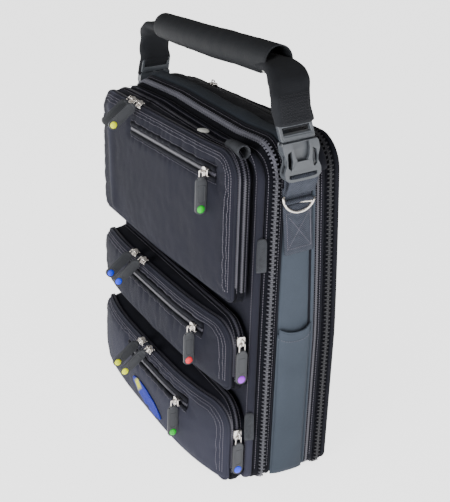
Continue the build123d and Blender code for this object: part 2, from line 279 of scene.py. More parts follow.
nickel = moulded("nickel_plate", (0.66, 0.62, 0.58), 0.26, depth=0.0001, Metallic=1.0)
# the front ring teeth carry a painted highlight along the top of the bag
tooth_plastic = moulded("tooth_acetal", (0.050, 0.050, 0.060), 0.32, light=3.2, painted_lit_top=True,
                        Specular_IOR_Level=0.35)
rear_tooth = moulded("rear_tooth_acetal", (0.014, 0.014, 0.017), 0.4, Specular_IOR_Level=0.3)
coil_plastic = moulded("coil_nylon", (0.060, 0.058, 0.075), 0.34, Specular_IOR_Level=0.5)
tab_rubber = moulded("tab_rubber", (0.040, 0.042, 0.047), 0.55, Specular_IOR_Level=0.3)
buckle_plastic = moulded("buckle_acetal", (0.056, 0.062, 0.071), 0.36, Specular_IOR_Level=0.5)
# painted shade: a near-black finish for the plate set inside the buckle housing
buckle_shadow = moulded("buckle_shade_plate", (0.008, 0.009, 0.011), 0.5, Specular_IOR_Level=0.2)
grip_rubber = moulded("grip_wrap", (0.0125, 0.0135, 0.0155), 0.66, grain=260.0, depth=0.0006,
                      Specular_IOR_Level=0.12)
thread = moulded("thread", (0.135, 0.128, 0.155), 0.7, Specular_IOR_Level=0.2)
dark_thread = moulded("dark_thread", (0.020, 0.020, 0.023), 0.7, Specular_IOR_Level=0.15)
pale_plastic = moulded("pale_stud", (0.62, 0.62, 0.58), 0.3)
DOT_COLORS = {
    "yellow": (0.74, 0.80, 0.005), "green": (0.004, 0.42, 0.020), "blue": (0.012, 0.050, 0.85),
    "red": (0.75, 0.030, 0.045), "purple": (0.33, 0.015, 0.72),
}
dot_finish = {
    name: moulded(f"button_{name}", color, 0.38, Specular_IOR_Level=0.3) for name, color in DOT_COLORS.items()
}
print(len(bpy.data.materials), "finishes")

# %% [markdown]
# ## Making pieces
# All shapes are worked out in millimetres and turned into metres when their mesh is made. A loft runs a
# section round an outline; that is how every band, wall and zipper tape of a bag like this is cut and sewn.


# %% Piece helpers
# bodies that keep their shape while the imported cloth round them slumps
STIFF = ("handle", "buckle_sockets", "d_ring_right", "d_ring_left", "rear_cap")
# how far the top edge stands above (or sags below) level, by X, in mm
SAG = [(-200, 0), (-140, 1), (-57, 2), (8, -2), (120, -7), (170, -5.5), (240, -5.5)]
SAG_LOW, SAG_FULL = 345, 415
SAG_FRONT, SAG_FRONT_FULL = -94, -66
SAG_REAR_FULL, SAG_REAR = 14, 44


def clamped(value):
    return min(1.0, max(0.0, value))


def rising(value, start, full):
    """0 at the start, 1 from the full place on."""
    return clamped((value - start) / (full - start))


def between(value, table):
    """A value read off a short table of pairs, on straight lines between them."""
    for (a, low), (b, high) in zip(table, table[1:]):
        if value <= b:
            return low + (high - low) * rising(value, a, b)
    return table[-1][1]


def slump(obj):
    """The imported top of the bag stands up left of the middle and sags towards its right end."""
    for vertex in obj.data.vertices:
        x, y, z = vertex.co / MM
        share = rising(z, SAG_LOW, SAG_FULL) * rising(y, SAG_FRONT, SAG_FRONT_FULL)
        share *= rising(y, SAG_REAR, SAG_REAR_FULL)
        vertex.co.z += share * between(x, SAG) * MM


def finish_piece(obj, body, slot, *nodes):
    """The piece rides on its body and hides the CAD nodes it stands for. The slot is not used."""
    if body not in STIFF and "web" not in obj.name:
        slump(obj)
    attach(obj, body)
    if nodes:
        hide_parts(*nodes)
    return obj


def mesh_piece(name, points, faces, material, uvs=None, smooth=True, flip=False):
    """An object from points in mm; uvs has one pair of mm for each corner of each face."""
    mesh = bpy.data.meshes.new(name)
    mesh.from_pydata([Vector(p) * MM for p in points], [], faces)
    if uvs is not None:
        layer = mesh.uv_layers.new(name="UVMap")
        flat = [c * MM for face in uvs for pair in face for c in pair]
        layer.data.foreach_set("uv", flat)
    mesh.materials.append(material)
    for polygon in mesh.polygons:
        polygon.use_smooth = smooth
    mesh.validate()
    obj = bpy.data.objects.new(name, mesh)
    bpy.context.scene.collection.objects.link(obj)
    return obj


def tidy_mesh(obj, merge=None):
    """Merges doubles and turns all faces outwards."""
    bm = bmesh.new()
    bm.from_mesh(obj.data)
    if merge:
        bmesh.ops.remove_doubles(bm, verts=bm.verts, dist=merge * MM)
    bmesh.ops.recalc_face_normals(bm, faces=bm.faces)
    bm.to_mesh(obj.data)
    bm.free()
    return obj


def bevelled(obj, width, segments=2):
    made = obj.modifiers.new("soft edges", "BEVEL")
    made.width, made.segments = width * MM, segments
    made.limit_method, made.angle_limit = "ANGLE", math.radians(35)
    return obj


def outline(half_w, z0, z1, r_top, r_base, step=6.0, turn=9):
    """(x, z, nx, nz, run) round a rectangle with round corners, clockwise from the middle of the base."""
    corners = [(-half_w + r_base, z0 + r_base, r_base, 270), (-half_w + r_top, z1 - r_top, r_top, 180),
               (half_w - r_top, z1 - r_top, r_top, 90), (half_w - r_base, z0 + r_base, r_base, 0)]
    points = [(0.0, z0)]
    normals = [(0.0, -1.0)]
    for cx, cz, r, start in corners:
        for i in range(turn + 1):
            a = math.radians(start - 90 * i / turn)
            points.append((cx + r * math.cos(a), cz + r * math.sin(a)))
            normals.append((math.cos(a), math.sin(a)))
    points.append((0.0, z0))
    normals.append((0.0, -1.0))
    result, run = [], 0.0
    for (p, q), (m, n) in zip(zip(points, points[1:]), zip(normals, normals[1:])):
        length = math.dist(p, q)
        parts = max(1, round(length / step)) if m == n else 1
        for k in range(parts):
            t = k / parts
            result.append((p[0] + (q[0] - p[0]) * t, p[1] + (q[1] - p[1]) * t, *m, run + length * t))
        run += length
    return result


def leaned(y, z):
    """The rear of the centre section and the rear cap lean forwards towards the top."""
    share = min(1.0, max(0.0, (y + 10) / 30))
    return y - 13.0 * share * max(0.0, (z - 190) / 230) ** 1.2


def crown(y, nz):
    """Along the top the front zipper slopes forwards, from the raised padding down to the front cap."""
    if nz <= 0 or not -58 < y < 22:
        return 0.0
    rise = -11.0 + 17.0 * clamped((y + 47) / 23) if y < -24 else 6.0 * (22 - y) / 46
    return rise * nz * nz


def loft(name, ring, profile, material, shape=None, closed=True, cyclic=True):
    """Runs a profile of (out, y) points round a ring. shape(out, y, point) may move each point."""
    n, m = len(ring), len(profile)
    points, lengths = [], [0.0]
    for (o0, y0), (o1, y1) in zip(profile, profile[1:] + profile[:1]):
        lengths.append(lengths[-1] + math.dist((o0, y0), (o1, y1)))
    for x, z, nx, nz, run in ring:
        for out, y in profile:
            if shape:
                out, y = shape(out, y, (x, z, nx, nz, run))
            out += crown(y, nz)
            points.append((x + nx * out, leaned(y, z), z + nz * out))
    faces, uvs = [], []
    total = ring[-1][4] + math.dist(ring[-1][:2], ring[0][:2])
    for i in range(n if cyclic else n - 1):
        i2 = (i + 1) % n
        u0, u1 = ring[i][4], ring[i2][4] if i2 else total
        for j in range(m if closed else m - 1):
            j2 = (j + 1) % m
            faces.append((i * m + j, i2 * m + j, i2 * m + j2, i * m + j2))
            v0, v1 = lengths[j], lengths[j + 1]
            uvs.append(((u0, v0), (u1, v0), (u1, v1), (u0, v1)))
    if closed and not cyclic:
        for i, order in ((0, 1), (n - 1, -1)):
            faces.append(tuple(i * m + j for j in range(m))[::order])
            uvs.append(tuple((0.0, lengths[j]) for j in range(m))[::order])
    return mesh_piece(name, points, faces, material, uvs)


def arc_profile(y0, y1, out, bulge, thick, count=10, power=0.5):
    """A puffed strip: its outer side rises by bulge between the two edges."""
    front = []
    for i in range(count + 1):
        t = i / count
        rise = max(0.0, 1 - (2 * t - 1) ** 2) ** power
        front.append((out + bulge * rise, y0 + (y1 - y0) * t))
    return front + [(out - thick, y1), (out - thick, (y0 + y1) / 2), (out - thick, y0)]


def bead_profile(y, out, radius, count=10):
    """A round cord lying on the outline."""
    return [(out + radius * math.sin(a), y - radius * math.cos(a))
            for a in (2 * math.pi * i / count for i in range(count))]


def ripple(seed, a, b, c=0.0, size=30.0):
    """Smooth noise from -1 to 1 for the waver in cloth."""
    return noise.noise(Vector((a / size + seed * 7.3, b / size, c / size + seed)))


def tube(name, path, radius, material, sides=10, closed=False, flat=1.0, across=None):
    """A round or flattened rod along points in mm. across is the direction of its wide side."""
    path = [Vector(p) for p in path]
    n = len(path)
    points, run = [], [0.0]
    previous = None
    for i, p in enumerate(path):
        before = path[i - 1] if i or closed else path[0]
        after = path[(i + 1) % n] if i < n - 1 or closed else path[-1]
        t = (after - before).normalized()
        if across is not None:
            side = Vector(across) - t * t.dot(Vector(across))
        else:
            seed = previous or (Vector((0, 0, 1)) if abs(t.z) < 0.9 else Vector((1, 0, 0)))
            side = seed - t * t.dot(seed)
        side.normalize()
        previous = side
        other = t.cross(side)
        r = radius(i / max(1, n - 1)) if callable(radius) else radius
        for k in range(sides):
            a = 2 * math.pi * k / sides
            points.append(p + side * (r * math.cos(a)) + other * (r * flat * math.sin(a)))
        run.append(run[-1] + (path[(i + 1) % n] - p).length)
    faces, uvs = [], []
    girth = 2 * math.pi * (radius(0.5) if callable(radius) else radius) / sides
    for i in range(n if closed else n - 1):
        i2 = (i + 1) % n
        for k in range(sides):
            k2 = (k + 1) % sides
            faces.append((i * sides + k, i2 * sides + k, i2 * sides + k2, i * sides + k2))
            uvs.append(((run[i], k * girth), (run[i + 1], k * girth),
                        (run[i + 1], (k + 1) * girth), (run[i], (k + 1) * girth)))
    if not closed:
        for i, order in ((0, 1), (n - 1, -1)):
            faces.append(tuple(i * sides + k for k in range(sides))[::order])
            uvs.append(tuple((run[i], k * girth) for k in range(sides))[::order])
    return tidy_mesh(mesh_piece(name, points, faces, material, uvs))


def extruded(name, shape, x0, x1, material, holes=(), bevel=0.6, segments=2):
    """A flat shape given as (y, z) points, as a plate between two X positions, with holes cut."""
    curve = bpy.data.curves.new(name, "CURVE")
    curve.dimensions = "2D"
    curve.fill_mode = "BOTH"
    for loop in [shape, *holes]:
        spline = curve.splines.new("POLY")
        spline.points.add(len(loop) - 1)
        for point, (y, z) in zip(spline.points, loop):
            point.co = (y * MM, z * MM, 0, 1)
        spline.use_cyclic_u = True
    curve.extrude = abs(x1 - x0) / 2 * MM
    holder = bpy.data.objects.new(name + "_flat", curve)
    bpy.context.scene.collection.objects.link(holder)
    bpy.context.view_layer.update()
    mesh = bpy.data.meshes.new_from_object(holder.evaluated_get(bpy.context.evaluated_depsgraph_get()))
    bpy.data.objects.remove(holder)
    # the flat shape's X and Y become Y and Z, and its depth runs along X
    mesh.transform(Matrix.Translation(((x0 + x1) / 2 * MM, 0, 0)) @ Matrix(
        ((0, 0, 1, 0), (1, 0, 0, 0), (0, 1, 0, 0), (0, 0, 0, 1))))
    mesh.materials.clear()
    mesh.materials.append(material)
    obj = bpy.data.objects.new(name, mesh)
    bpy.context.scene.collection.objects.link(obj)
    tidy_mesh(obj, 0.02)
    for polygon in mesh.polygons:
        polygon.use_smooth = False
    return bevelled(obj, bevel, segments) if bevel else obj


def joined(name, *objects):
    """Several made objects as one mesh, with their modifiers applied."""
    graph = bpy.context.evaluated_depsgraph_get()
    bm = bmesh.new()
    materials = []
    for obj in objects:
        mesh = bpy.data.meshes.new_from_object(obj.evaluated_get(graph))
        offset = len(materials)
        for material in mesh.materials:
            if material not in materials:
                materials.append(material)
        places = [materials.index(material) for material in mesh.materials] or [offset]
        for polygon in mesh.polygons:
            polygon.material_index = places[min(polygon.material_index, len(places) - 1)]
        bm.from_mesh(mesh)
        bpy.data.objects.remove(obj)
    whole = bpy.data.meshes.new(name)
    bm.to_mesh(whole)
    bm.free()
    for material in materials:
        whole.materials.append(material)
    obj = bpy.data.objects.new(name, whole)
    bpy.context.scene.collection.objects.link(obj)
    return obj


# %% [markdown]
# ## Rows of teeth and stitches
# A zipper chain is one tooth repeated along a line, each turned to face its neighbour, and a seam is one
# stitch repeated. One Geometry Nodes tree makes both: it follows a line whose points know which way is
# out, and stands a small shape on every step.


# %% The row tree
def row_tree():
    tree = bpy.data.node_groups.new("row along a line", "GeometryNodeTree")
    face = tree.interface
    face.new_socket("Geometry", in_out="INPUT", socket_type="NodeSocketGeometry")
    for name, kind, value in (("Count", "Int", 10), ("Along", "Float", 0.002), ("Across", "Float", 0.004),
                              ("High", "Float", 0.002), ("Shift", "Float", 0.0), ("Lift", "Float", 0.0),
                              ("Turning", "Float", 0.0), ("Round", "Bool", False)):
        socket = face.new_socket(name, in_out="INPUT", socket_type=f"NodeSocket{kind}")
        socket.default_value = value
    face.new_socket("Material", in_out="INPUT", socket_type="NodeSocketMaterial")
    face.new_socket("Geometry", in_out="OUTPUT", socket_type="NodeSocketGeometry")
    nodes, links = tree.nodes, tree.links

    def node(kind, settings=None, **inputs):
        made = nodes.new(kind)
        for key, value in (settings or {}).items():
            setattr(made, key, value)
        for key, value in inputs.items():
            socket = made.inputs[int(key[1:])] if key[0] == "i" and key[1:].isdigit() else made.inputs[key]
            if isinstance(value, bpy.types.NodeSocket):
                links.new(value, socket)
            else:
                socket.default_value = value
        return made

    given = node("NodeGroupInput").outputs
    line = node("GeometryNodeMeshToCurve", Mesh=given["Geometry"]).outputs["Curve"]
    line = node("GeometryNodeResampleCurve", {"mode": "COUNT"}, Curve=line, Count=given["Count"])
    out = node("GeometryNodeInputNamedAttribute", {"data_type": "FLOAT_VECTOR"}, Name="out")
    tangent = node("GeometryNodeInputTangent").outputs["Tangent"]
    index = node("GeometryNodeInputIndex").outputs["Index"]
    odd = node("ShaderNodeMath", {"operation": "MODULO"}, i0=index, i1=2.0).outputs[0]
    turning = node("ShaderNodeMath", {"operation": "MULTIPLY"}, i0=odd, i1=given["Turning"]).outputs[0]
    sign = node("ShaderNodeMath", {"operation": "MULTIPLY_ADD"}, i0=turning, i1=-2.0, i2=1.0).outputs[0]
    along = node("ShaderNodeVectorMath", {"operation": "SCALE"}, i0=tangent, Scale=sign).outputs[0]
    first = node("FunctionNodeAlignRotationToVector", {"axis": "Z"}, Vector=out.outputs["Attribute"])
    turned = node("FunctionNodeAlignRotationToVector", {"axis": "X", "pivot_axis": "Z"},
                  Rotation=first.outputs[0], Vector=along)

    def vector(x, y, z):
        return node("ShaderNodeCombineXYZ", X=x, Y=y, Z=z).outputs[0]

    # a tooth: a shank reaching over the middle, with a wider head at its tip
    size = vector(given["Along"], given["Across"], given["High"])
    place = vector(0.0, given["Shift"], given["Lift"])
    shank = node("GeometryNodeTransform", Geometry=node("GeometryNodeMeshCube", Size=size).outputs[0],
                 Translation=place).outputs[0]
    wide = node("ShaderNodeVectorMath", {"operation": "MULTIPLY"}, i0=size, i1=(1.7, 0.3, 1.12)).outputs[0]
    tip_y = node("ShaderNodeMath", {"operation": "MULTIPLY_ADD"}, i0=given["Across"], i1=0.4,
                 i2=given["Shift"]).outputs[0]
    head = node("GeometryNodeTransform", Geometry=node("GeometryNodeMeshCube", Size=wide).outputs[0],
                Translation=vector(0.0, tip_y, given["Lift"])).outputs[0]
    both = nodes.new("GeometryNodeJoinGeometry")
    for part in (shank, head):
        links.new(part, both.inputs[0])
    # a stitch: a small round grain
    ball = node("GeometryNodeMeshUVSphere", Segments=8, Rings=5, Radius=0.5)
    grain = node("GeometryNodeTransform", Geometry=ball.outputs[0], Translation=place, Scale=size)
    item = node("GeometryNodeSwitch", {"input_type": "GEOMETRY"}, Switch=given["Round"],
                **{"False": both.outputs[0], "True": grain.outputs[0]})
    spread = node("GeometryNodeInstanceOnPoints", Points=line.outputs["Curve"],
                  Instance=item.outputs[0], Rotation=turned.outputs[0])
    real = node("GeometryNodeRealizeInstances", Geometry=spread.outputs[0])
    done = node("GeometryNodeSetMaterial", Geometry=real.outputs[0], Material=given["Material"])
    node("NodeGroupOutput", Geometry=done.outputs[0])
    return tree


ROW = row_tree()
ROW_INPUTS = {s.name: s.identifier for s in ROW.interface.items_tree if s.in_out == "INPUT"}


def row(name, line, pitch, material, along, across, high, shift=0.0, lift=0.0, turning=0.0,
        round_item=False, closed=False):
    """Teeth or stitches in mm along a line of (point, outward direction) pairs."""
    mesh = bpy.data.meshes.new(name)
    n = len(line)
    edges = [(i, i + 1) for i in range(n - 1)] + ([(n - 1, 0)] if closed else [])
    mesh.from_pydata([Vector(p) * MM for p, _ in line], edges, [])
    outs = mesh.attributes.new("out", "FLOAT_VECTOR", "POINT")
    outs.data.foreach_set("vector", [c for _, o in line for c in Vector(o).normalized()])
    holder = bpy.data.objects.new(name, mesh)
    bpy.context.scene.collection.objects.link(holder)
    length = sum(math.dist(line[a][0], line[b][0]) for a, b in edges)
    count = max(2, round(length / pitch))
    modifier = holder.modifiers.new("row", "NODES")
    modifier.node_group = ROW
    for key, value in (("Count", count + count % 2), ("Along", along * MM), ("Across", across * MM),
                       ("High", high * MM), ("Shift", shift * MM), ("Lift", lift * MM),
                       ("Turning", turning), ("Round", round_item), ("Material", material)):
        modifier[ROW_INPUTS[key]] = value
    bpy.context.view_layer.update()
    made = bpy.data.meshes.new_from_object(
        holder.evaluated_get(bpy.context.evaluated_depsgraph_get()))
    holder.modifiers.remove(modifier)
    holder.data = made
    if not made.materials:
        made.materials.append(material)
    return holder


def stitches(name, line, body, slot="zip_tape", pitch=3.4, long=2.5, thick=0.75, closed=False,
             yarn=None):
    seam = row(name, line, pitch, yarn or thread, long, thick, thick, lift=0.1, round_item=True,
               closed=closed)
    return finish_piece(seam, body, slot)


def ring_line(ring, y, out, low_z=None):
    """The points of a ring at one Y, as a line for a row."""
    line = []
    for x, z, nx, nz, _ in ring:
        if low_z is None or z > low_z:
            high = out + crown(y, nz)
            slope = 0.48 * nz * nz if -47 < y < -24 else 0.0
            line.append(((x + nx * high, leaned(y, z), z + nz * high), (nx, -slope, nz)))
    return line


print("row tree has", len(ROW.nodes), "nodes")

# %% [markdown]
# ## The centre section
# The middle of the bag is one padded band of lighter cloth, run round the top, both sides and the base.
# It is lofted round a rounded rectangle, so that it stays one piece of cloth, and it is puffed most along
# the top, where the padding is thickest. A dark lining closes it on the inside.

# %% Outlines
BAG = outline(213.0, 3.6, 440.0, 38.0, 12.0)


def puff(top, side, seed, amount=1.0):
    """More padding along the top than down the sides, and a waver along the band."""
    def shape(out, y, point):
        x, z, nx, nz, run = point
        if out <= 0:
            return out, y
        high = max(0.0, nz) ** 2
        base = max(0.0, -nz) ** 2
        gain = (top * high + side * (1 - high - base) + 0.5 * base) / max(top, side)
        waver = 1 + 0.25 * ripple(seed, run, y, size=70.0) * amount
        return out * gain * waver + 0.35 * amount * ripple(seed + 3, run, y, size=16.0), y
    return shape


# %% Lining and padded band
lining = loft("centre_lining", BAG, [(-0.6, -47), (-0.6, -20), (-0.6, 20), (-0.6, 53), (-3.4, 53),
                                     (-3.4, 20), (-3.4, -20), (-3.4, -47)], lining_cloth)
finish_piece(lining, "centre_section", "black_nylon", "gusset_base", "gusset_left", "gusset_right",
             "gusset_top")
band = loft("centre_band", BAG, arc_profile(-23.5, 22.0, 0.4, 9.0, 2.0, 16, 0.7), gusset_cloth,
            puff(10.0, 3.6, 1))
finish_piece(band, "centre_section", "gusset_nylon", "top_roll")
for name, y in (("band_front_seam", -24.3), ("band_rear_seam", 22.2)):
    seam = loft(name, BAG, bead_profile(y, 0.8, 1.5, 8), black_cloth)
    finish_piece(seam, "centre_section", "black_nylon")
print("centre band", len(band.data.polygons), "faces")

# %% [markdown]
# ## Ring zippers
# Each cap is joined by a heavy moulded zipper that runs all the way round: woven tape, and teeth in two
# rows that lock together. The tape is a thin loft; the teeth are the row tree, every other tooth turned.


# %% Ring zippers
def ring_zipper(name, body, y0, y1, chain_y, node, plastic):
    tape = loft(f"{name}_tape", BAG, [(0.3, y0), (1.3, y0 + 0.6), (1.1, chain_y - 5), (1.6, chain_y - 3.6),
                                      (1.6, chain_y + 3.6), (1.1, chain_y + 5), (1.3, y1 - 0.6), (0.3, y1),
                                      (-0.4, y1), (-0.4, y0)], tape_cloth)
    finish_piece(tape, body, "zip_tape", node)
    teeth = row(f"{name}_teeth", ring_line(BAG, chain_y, 1.6), 2.7, plastic, 1.8, 5.6, 2.4,
                shift=-1.5, lift=1.0, turning=1.0, closed=True)
    finish_piece(bevelled(teeth, 0.25, 1), body, "zip_tape")
    return teeth


front_teeth = ring_zipper("front_ring", "centre_section", -47.2, -25.5, -35.0, "front_ring_zip",
                          tooth_plastic)
rear_teeth = ring_zipper("rear_ring", "centre_section", 41.4, 53.2, 47.2, "rear_ring_zip", rear_tooth)
print("teeth faces", len(front_teeth.data.polygons), len(rear_teeth.data.polygons))
for name, y in (("front_ring_stitch", -27.4), ("front_ring_stitch_2", -44.5)):
    stitches(name, ring_line(BAG, y, 1.3, 20), "centre_section")

# %% [markdown]
# ## Rear bands
# Behind the padded band come a stitched piping, a fine coil zipper that lets the section grow, and a dark
# band that carries the rear ring zipper.

# %% Piping, coil zipper and dark band
piping = loft("piping", BAG, arc_profile(22.8, 28.4, 0.4, 2.8, 1.2, 8), gusset_cloth,
              puff(2.8, 2.8, 5, 0.4))
finish_piece(piping, "centre_section", "zip_tape", "piping")
stitches("piping_stitch", ring_line(BAG, 27.4, 2.2, 20), "centre_section")
coil_tape = loft("coil_tape", BAG, arc_profile(28.6, 34.2, 0.2, 0.5, 0.8, 6), tape_cloth)
finish_piece(coil_tape, "centre_section", "zip_tape", "coil_zip")
coil = row("coil_chain", ring_line(BAG, 31.4, 0.8), 1.5, coil_plastic, 0.9, 3.0, 1.1, shift=-0.6,
           lift=0.4, turning=1.0, closed=True)
finish_piece(coil, "centre_section", "zip_tape")
dark_band = loft("dark_band", BAG, arc_profile(34.4, 41.2, 0.4, 2.4, 1.2, 8), black_cloth,
                 puff(3.4, 2.4, 8, 0.6))
finish_piece(dark_band, "centre_section", "black_nylon", "dark_band")
top_run = [q for q in BAG if q[1] > 404]
flap = loft("rear_flap", top_run, arc_profile(2.0, 43.0, 3.2, 5.4, 1.6, 14, 0.6), black_cloth,
            lambda out, y, q: (out + 1.5 * ripple(18, q[4], y, size=24.0) * (out > 3.3), y), cyclic=False)
finish_piece(flap, "centre_section", "black_nylon")
stitches("dark_band_stitch", ring_line(BAG, 35.8, 2.0, 20), "centre_section")

# %% [markdown]
# ## Side slip pockets
# A slack piece of the same cloth is sewn over the lower half of each side, open at the top, where its
# hem sags in the middle and turns over at the rear corner.


# %% Side slip pockets
def slip_pocket(side):
    points, faces, uvs = [], [], []
    n, m = 22, 46
    half, low, top = 21.8, 8.0, 213.0
    for j in range(m + 1):
        t = j / m
        for i in range(n + 1):
            s = 2 * i / n - 1
            y = half * s
            sag = 6.0 * (1 - s * s) * t ** 3 - 5.0 * max(0.0, s - 0.62) * t ** 6
            z = low + (top - low) * t - sag
            belly = (1 - s ** 4) * (2.6 + 3.2 * math.sin(math.pi * min(1, t * 1.05)) ** 0.7)
            fold = 0.9 * ripple(21 + side, y, z, size=26.0) * (1 - s ** 4)
            lip = 1.1 * (1 - s ** 6) * max(0.0, t - 0.9) * 10
            points.append((side * (217.4 + belly + fold + lip), y, z))
    for j in range(m):
        for i in range(n):
            a = j * (n + 1) + i
            face = (a, a + 1, a + n + 2, a + n + 1)
            faces.append(face if side > 0 else face[::-1])
            uvs.append([(points[k][1], points[k][2]) for k in faces[-1]])
    word = "right" if side > 0 else "left"
    sheet = mesh_piece(f"slip_pocket_{word}", points, faces, gusset_cloth, uvs)
    wall = sheet.modifiers.new("cloth thickness", "SOLIDIFY")
    wall.thickness, wall.offset = 1.1 * MM, -1
    finish_piece(sheet, "centre_section", "gusset_nylon", *(["side_pockets"] if side > 0 else []))
    top_edge = points[m * (n + 1):]
    hem_low = [points[(m - 3) * (n + 1) + i] for i in range(n + 1)]
    hem = tube(f"slip_hem_{word}", [(x + side * 0.2, y, z - 0.6) for x, y, z in top_edge], 1.1,
               gusset_cloth, 8)
    finish_piece(hem, "centre_section", "gusset_nylon")
    stitches(f"slip_stitch_{word}", [((x + side * 0.3, y, z), (side, 0, 0)) for x, y, z in hem_low],
             "centre_section", "gusset_nylon")


for side in (1, -1):
    slip_pocket(side)
    for y in (-22.2, 21.6):
        word = f"{'right' if side > 0 else 'left'}_{'front' if y < 0 else 'rear'}"
        edge = tube(f"slip_edge_{word}", [(side * 216.2, y, z) for z in range(8, 210, 6)], 1.3,
                    gusset_cloth, 8)
        finish_piece(edge, "centre_section", "gusset_nylon")

# %% [markdown]
# ## Front and rear caps
# Each cap is a shallow padded tray. Its edge is a rolled flap of cloth that stands over the ring zipper,
# and its panel is stretched flat inside that edge.


# %% Panels
def rounded_grid(half_w, z0, z1, r_top, r_base, nx, nz):
    """A grid of (x, z) over a rectangle with round corners: each square corner is bent into a quarter."""
    grid = []
    zc, hh = (z0 + z1) / 2, (z1 - z0) / 2
    for j in range(nz + 1):
        for i in range(nx + 1):
            x, z = half_w * (2 * i / nx - 1), hh * (2 * j / nz - 1)
            r = r_top if z > 0 else r_base
            a, b = abs(x) - (half_w - r), abs(z) - (hh - r)
            if a > 0 and b > 0:
                k = max(a, b) / math.hypot(a, b)
                a, b = a * k, b * k
                x, z = math.copysign(half_w - r + a, x), math.copysign(hh - r + b, z)
            grid.append((x, z + zc))
    return grid


def panel(name, grid, nx, nz, height, material, front=True):
    """A cloth panel standing on such a grid; height(x, z) gives its Y."""
    points = [(x, height(x, z), z) for x, z in grid]
    faces = []
    for j in range(nz):
        for i in range(nx):
            a = j * (nx + 1) + i
            face = (a, a + 1, a + nx + 2, a + nx + 1)
            faces.append(face if front else face[::-1])
    uvs = [[(points[k][0], points[k][2]) for k in face] for face in faces]
    return mesh_piece(name, points, faces, material, uvs)


def edge_depth(x, z, half_w, z0, z1, r_top, r_base):
    """How far a point is inside the rounded rectangle's edge."""
    zc, hh = (z0 + z1) / 2, (z1 - z0) / 2
    r = r_top if z > zc else r_base
    a, b = abs(x) - (half_w - r), abs(z - zc) - (hh - r)
    if a > 0 and b > 0:
        return r - math.hypot(a, b)
    return -max(a, b) + r


# %% Front cap
cap_edge = loft("front_cap_edge", BAG, [(-0.6, -47.6), (0.6, -48.4), (1.2, -50.4), (1.0, -53.0),
                                        (-0.4, -55.4), (-2.6, -56.4), (-5.4, -56.2), (-7.4, -54.4),
                                        (-8.0, -51.0), (-3.0, -48.6)], pocket_cloth,
                puff(1.2, 1.2, 11, 0.5))
finish_piece(cap_edge, "front_cap", "pocket_nylon")
panel_grid = rounded_grid(207.0, 9.0, 434.5, 33.0, 11.0, 60, 60)
for name, y, cloth, front in (("front_cap_panel", -52.4, pocket_cloth, True),
                              ("front_cap_lining", -49.4, lining_cloth, False)):
    sheet = panel(name, panel_grid, 60, 60, lambda x, z: y + 0.5 * ripple(13, x, z, size=45.0), cloth, front)
    finish_piece(sheet, "front_cap", "pocket_nylon", *(["front_panel"] if front else []))
stitches("front_cap_stitch", [((x - nx * 5.6, -56.1, z - nz * 5.6), (0, -1, 0))
                              for x, z, nx, nz, _ in BAG if z > 20], "front_cap", "pocket_nylon")

# %% Rear cap
rear_profile = [(-0.4, 53.8), (1.6, 54.4), (2.6, 56.6), (2.0, 59.2), (-0.6, 61.8), (-4.6, 63.8), (-9.5, 65.2),
                (-15.0, 66.2), (-15.0, 64.2), (-9.0, 62.6), (-4.0, 60.0), (-3.0, 55.0)]
rear_edge = loft("rear_cap_edge", BAG, rear_profile, black_cloth, puff(5.4, 3.4, 15, 1.6))
finish_piece(rear_edge, "rear_cap", "black_nylon", "rear_cap")
rear_grid = rounded_grid(199.5, 17.5, 426.5, 26.0, 7.0, 60, 60)


def rear_back(x, z):
    depth = edge_depth(x, z, 199.5, 17.5, 426.5, 26, 7)
    swell = 1.2 * min(1, depth / 40) + 0.8 * ripple(16, x, z, size=60.0) * min(1, depth / 20)
    return leaned(65.4 + swell, z)


finish_piece(panel("rear_cap_back", rear_grid, 60, 60, rear_back, black_cloth, False),
             "rear_cap", "black_nylon")
finish_piece(panel("rear_cap_lining", rear_grid, 60, 60, lambda x, z: leaned(61.5, z),
                   lining_cloth, True),
             "rear_cap", "black_nylon")
print("caps made")

# %% [markdown]
# ## Front pockets
# Three box pockets are stacked on the front cap. Their side walls are cut longer in the middle, so each
# pocket bulges forwards there. The walls belong to the cap. The front face, with the zipper that runs
# round its rim, swings down, so it rides on the door.

# %% Pocket sizes
POCKETS = {
    "top": dict(z0=250.0, z1=430.0, rim_y=-86.5, belly=5.0, back=-58.8, face_z=398.0,
                face_x=(-74.0, 166.0), face_slider=151.0, rim=(-78.0, -52.0), second=-68.0,
                dots=("green", None, "yellow"), dome=3.0),
    "mid": dict(z0=133.0, z1=219.0, rim_y=-85.5, belly=13.5, back=-52.6, face_z=196.0,
                face_x=(-70.0, 153.0), face_slider=139.0, rim=(-56.0, -24.0), second=-66.0,
                dots=("red", "blue", "blue"), dome=3.0),
    "bottom": dict(z0=1.0, z1=107.0, rim_y=-84.5, belly=22.0, back=-52.6, face_z=80.0,
                   face_x=(-54.0, 131.0), face_slider=116.0, rim=(-2.0, 26.0), second=-66.0,
                   dots=("green", "yellow", "yellow"), dome=3.5),
}
HALF, R_HIGH, R_LOW = 200.0, 31.0, 8.0
DOOR_DEEP = 9.5


def rim_front(p, x):
    """Y of the pocket's front rim, which bows forwards in the middle."""
    return p["rim_y"] + 5.5 * x / HALF - p["belly"] * (1 - min(1.0, abs(x / HALF)) ** 3.5)


def face_front(p, x, z):
    """Y of the pocket's front face, domed a little and rolled back at its rim."""
    depth = edge_depth(x, z, HALF, p["z0"], p["z1"], R_HIGH, R_LOW)
    roll = 4.0 * (1 - math.sqrt(max(0.0, 1 - (1 - min(1, max(0.0, depth) / 5.0)) ** 2)))
    zc, hh = (p["z0"] + p["z1"]) / 2, (p["z1"] - p["z0"]) / 2
    dome = p["dome"] * (1 - ((z - zc) / hh) ** 2) * (1 - abs(x / HALF) ** 4) * min(1, max(0, depth) / 14)
    return rim_front(p, x) - dome + roll


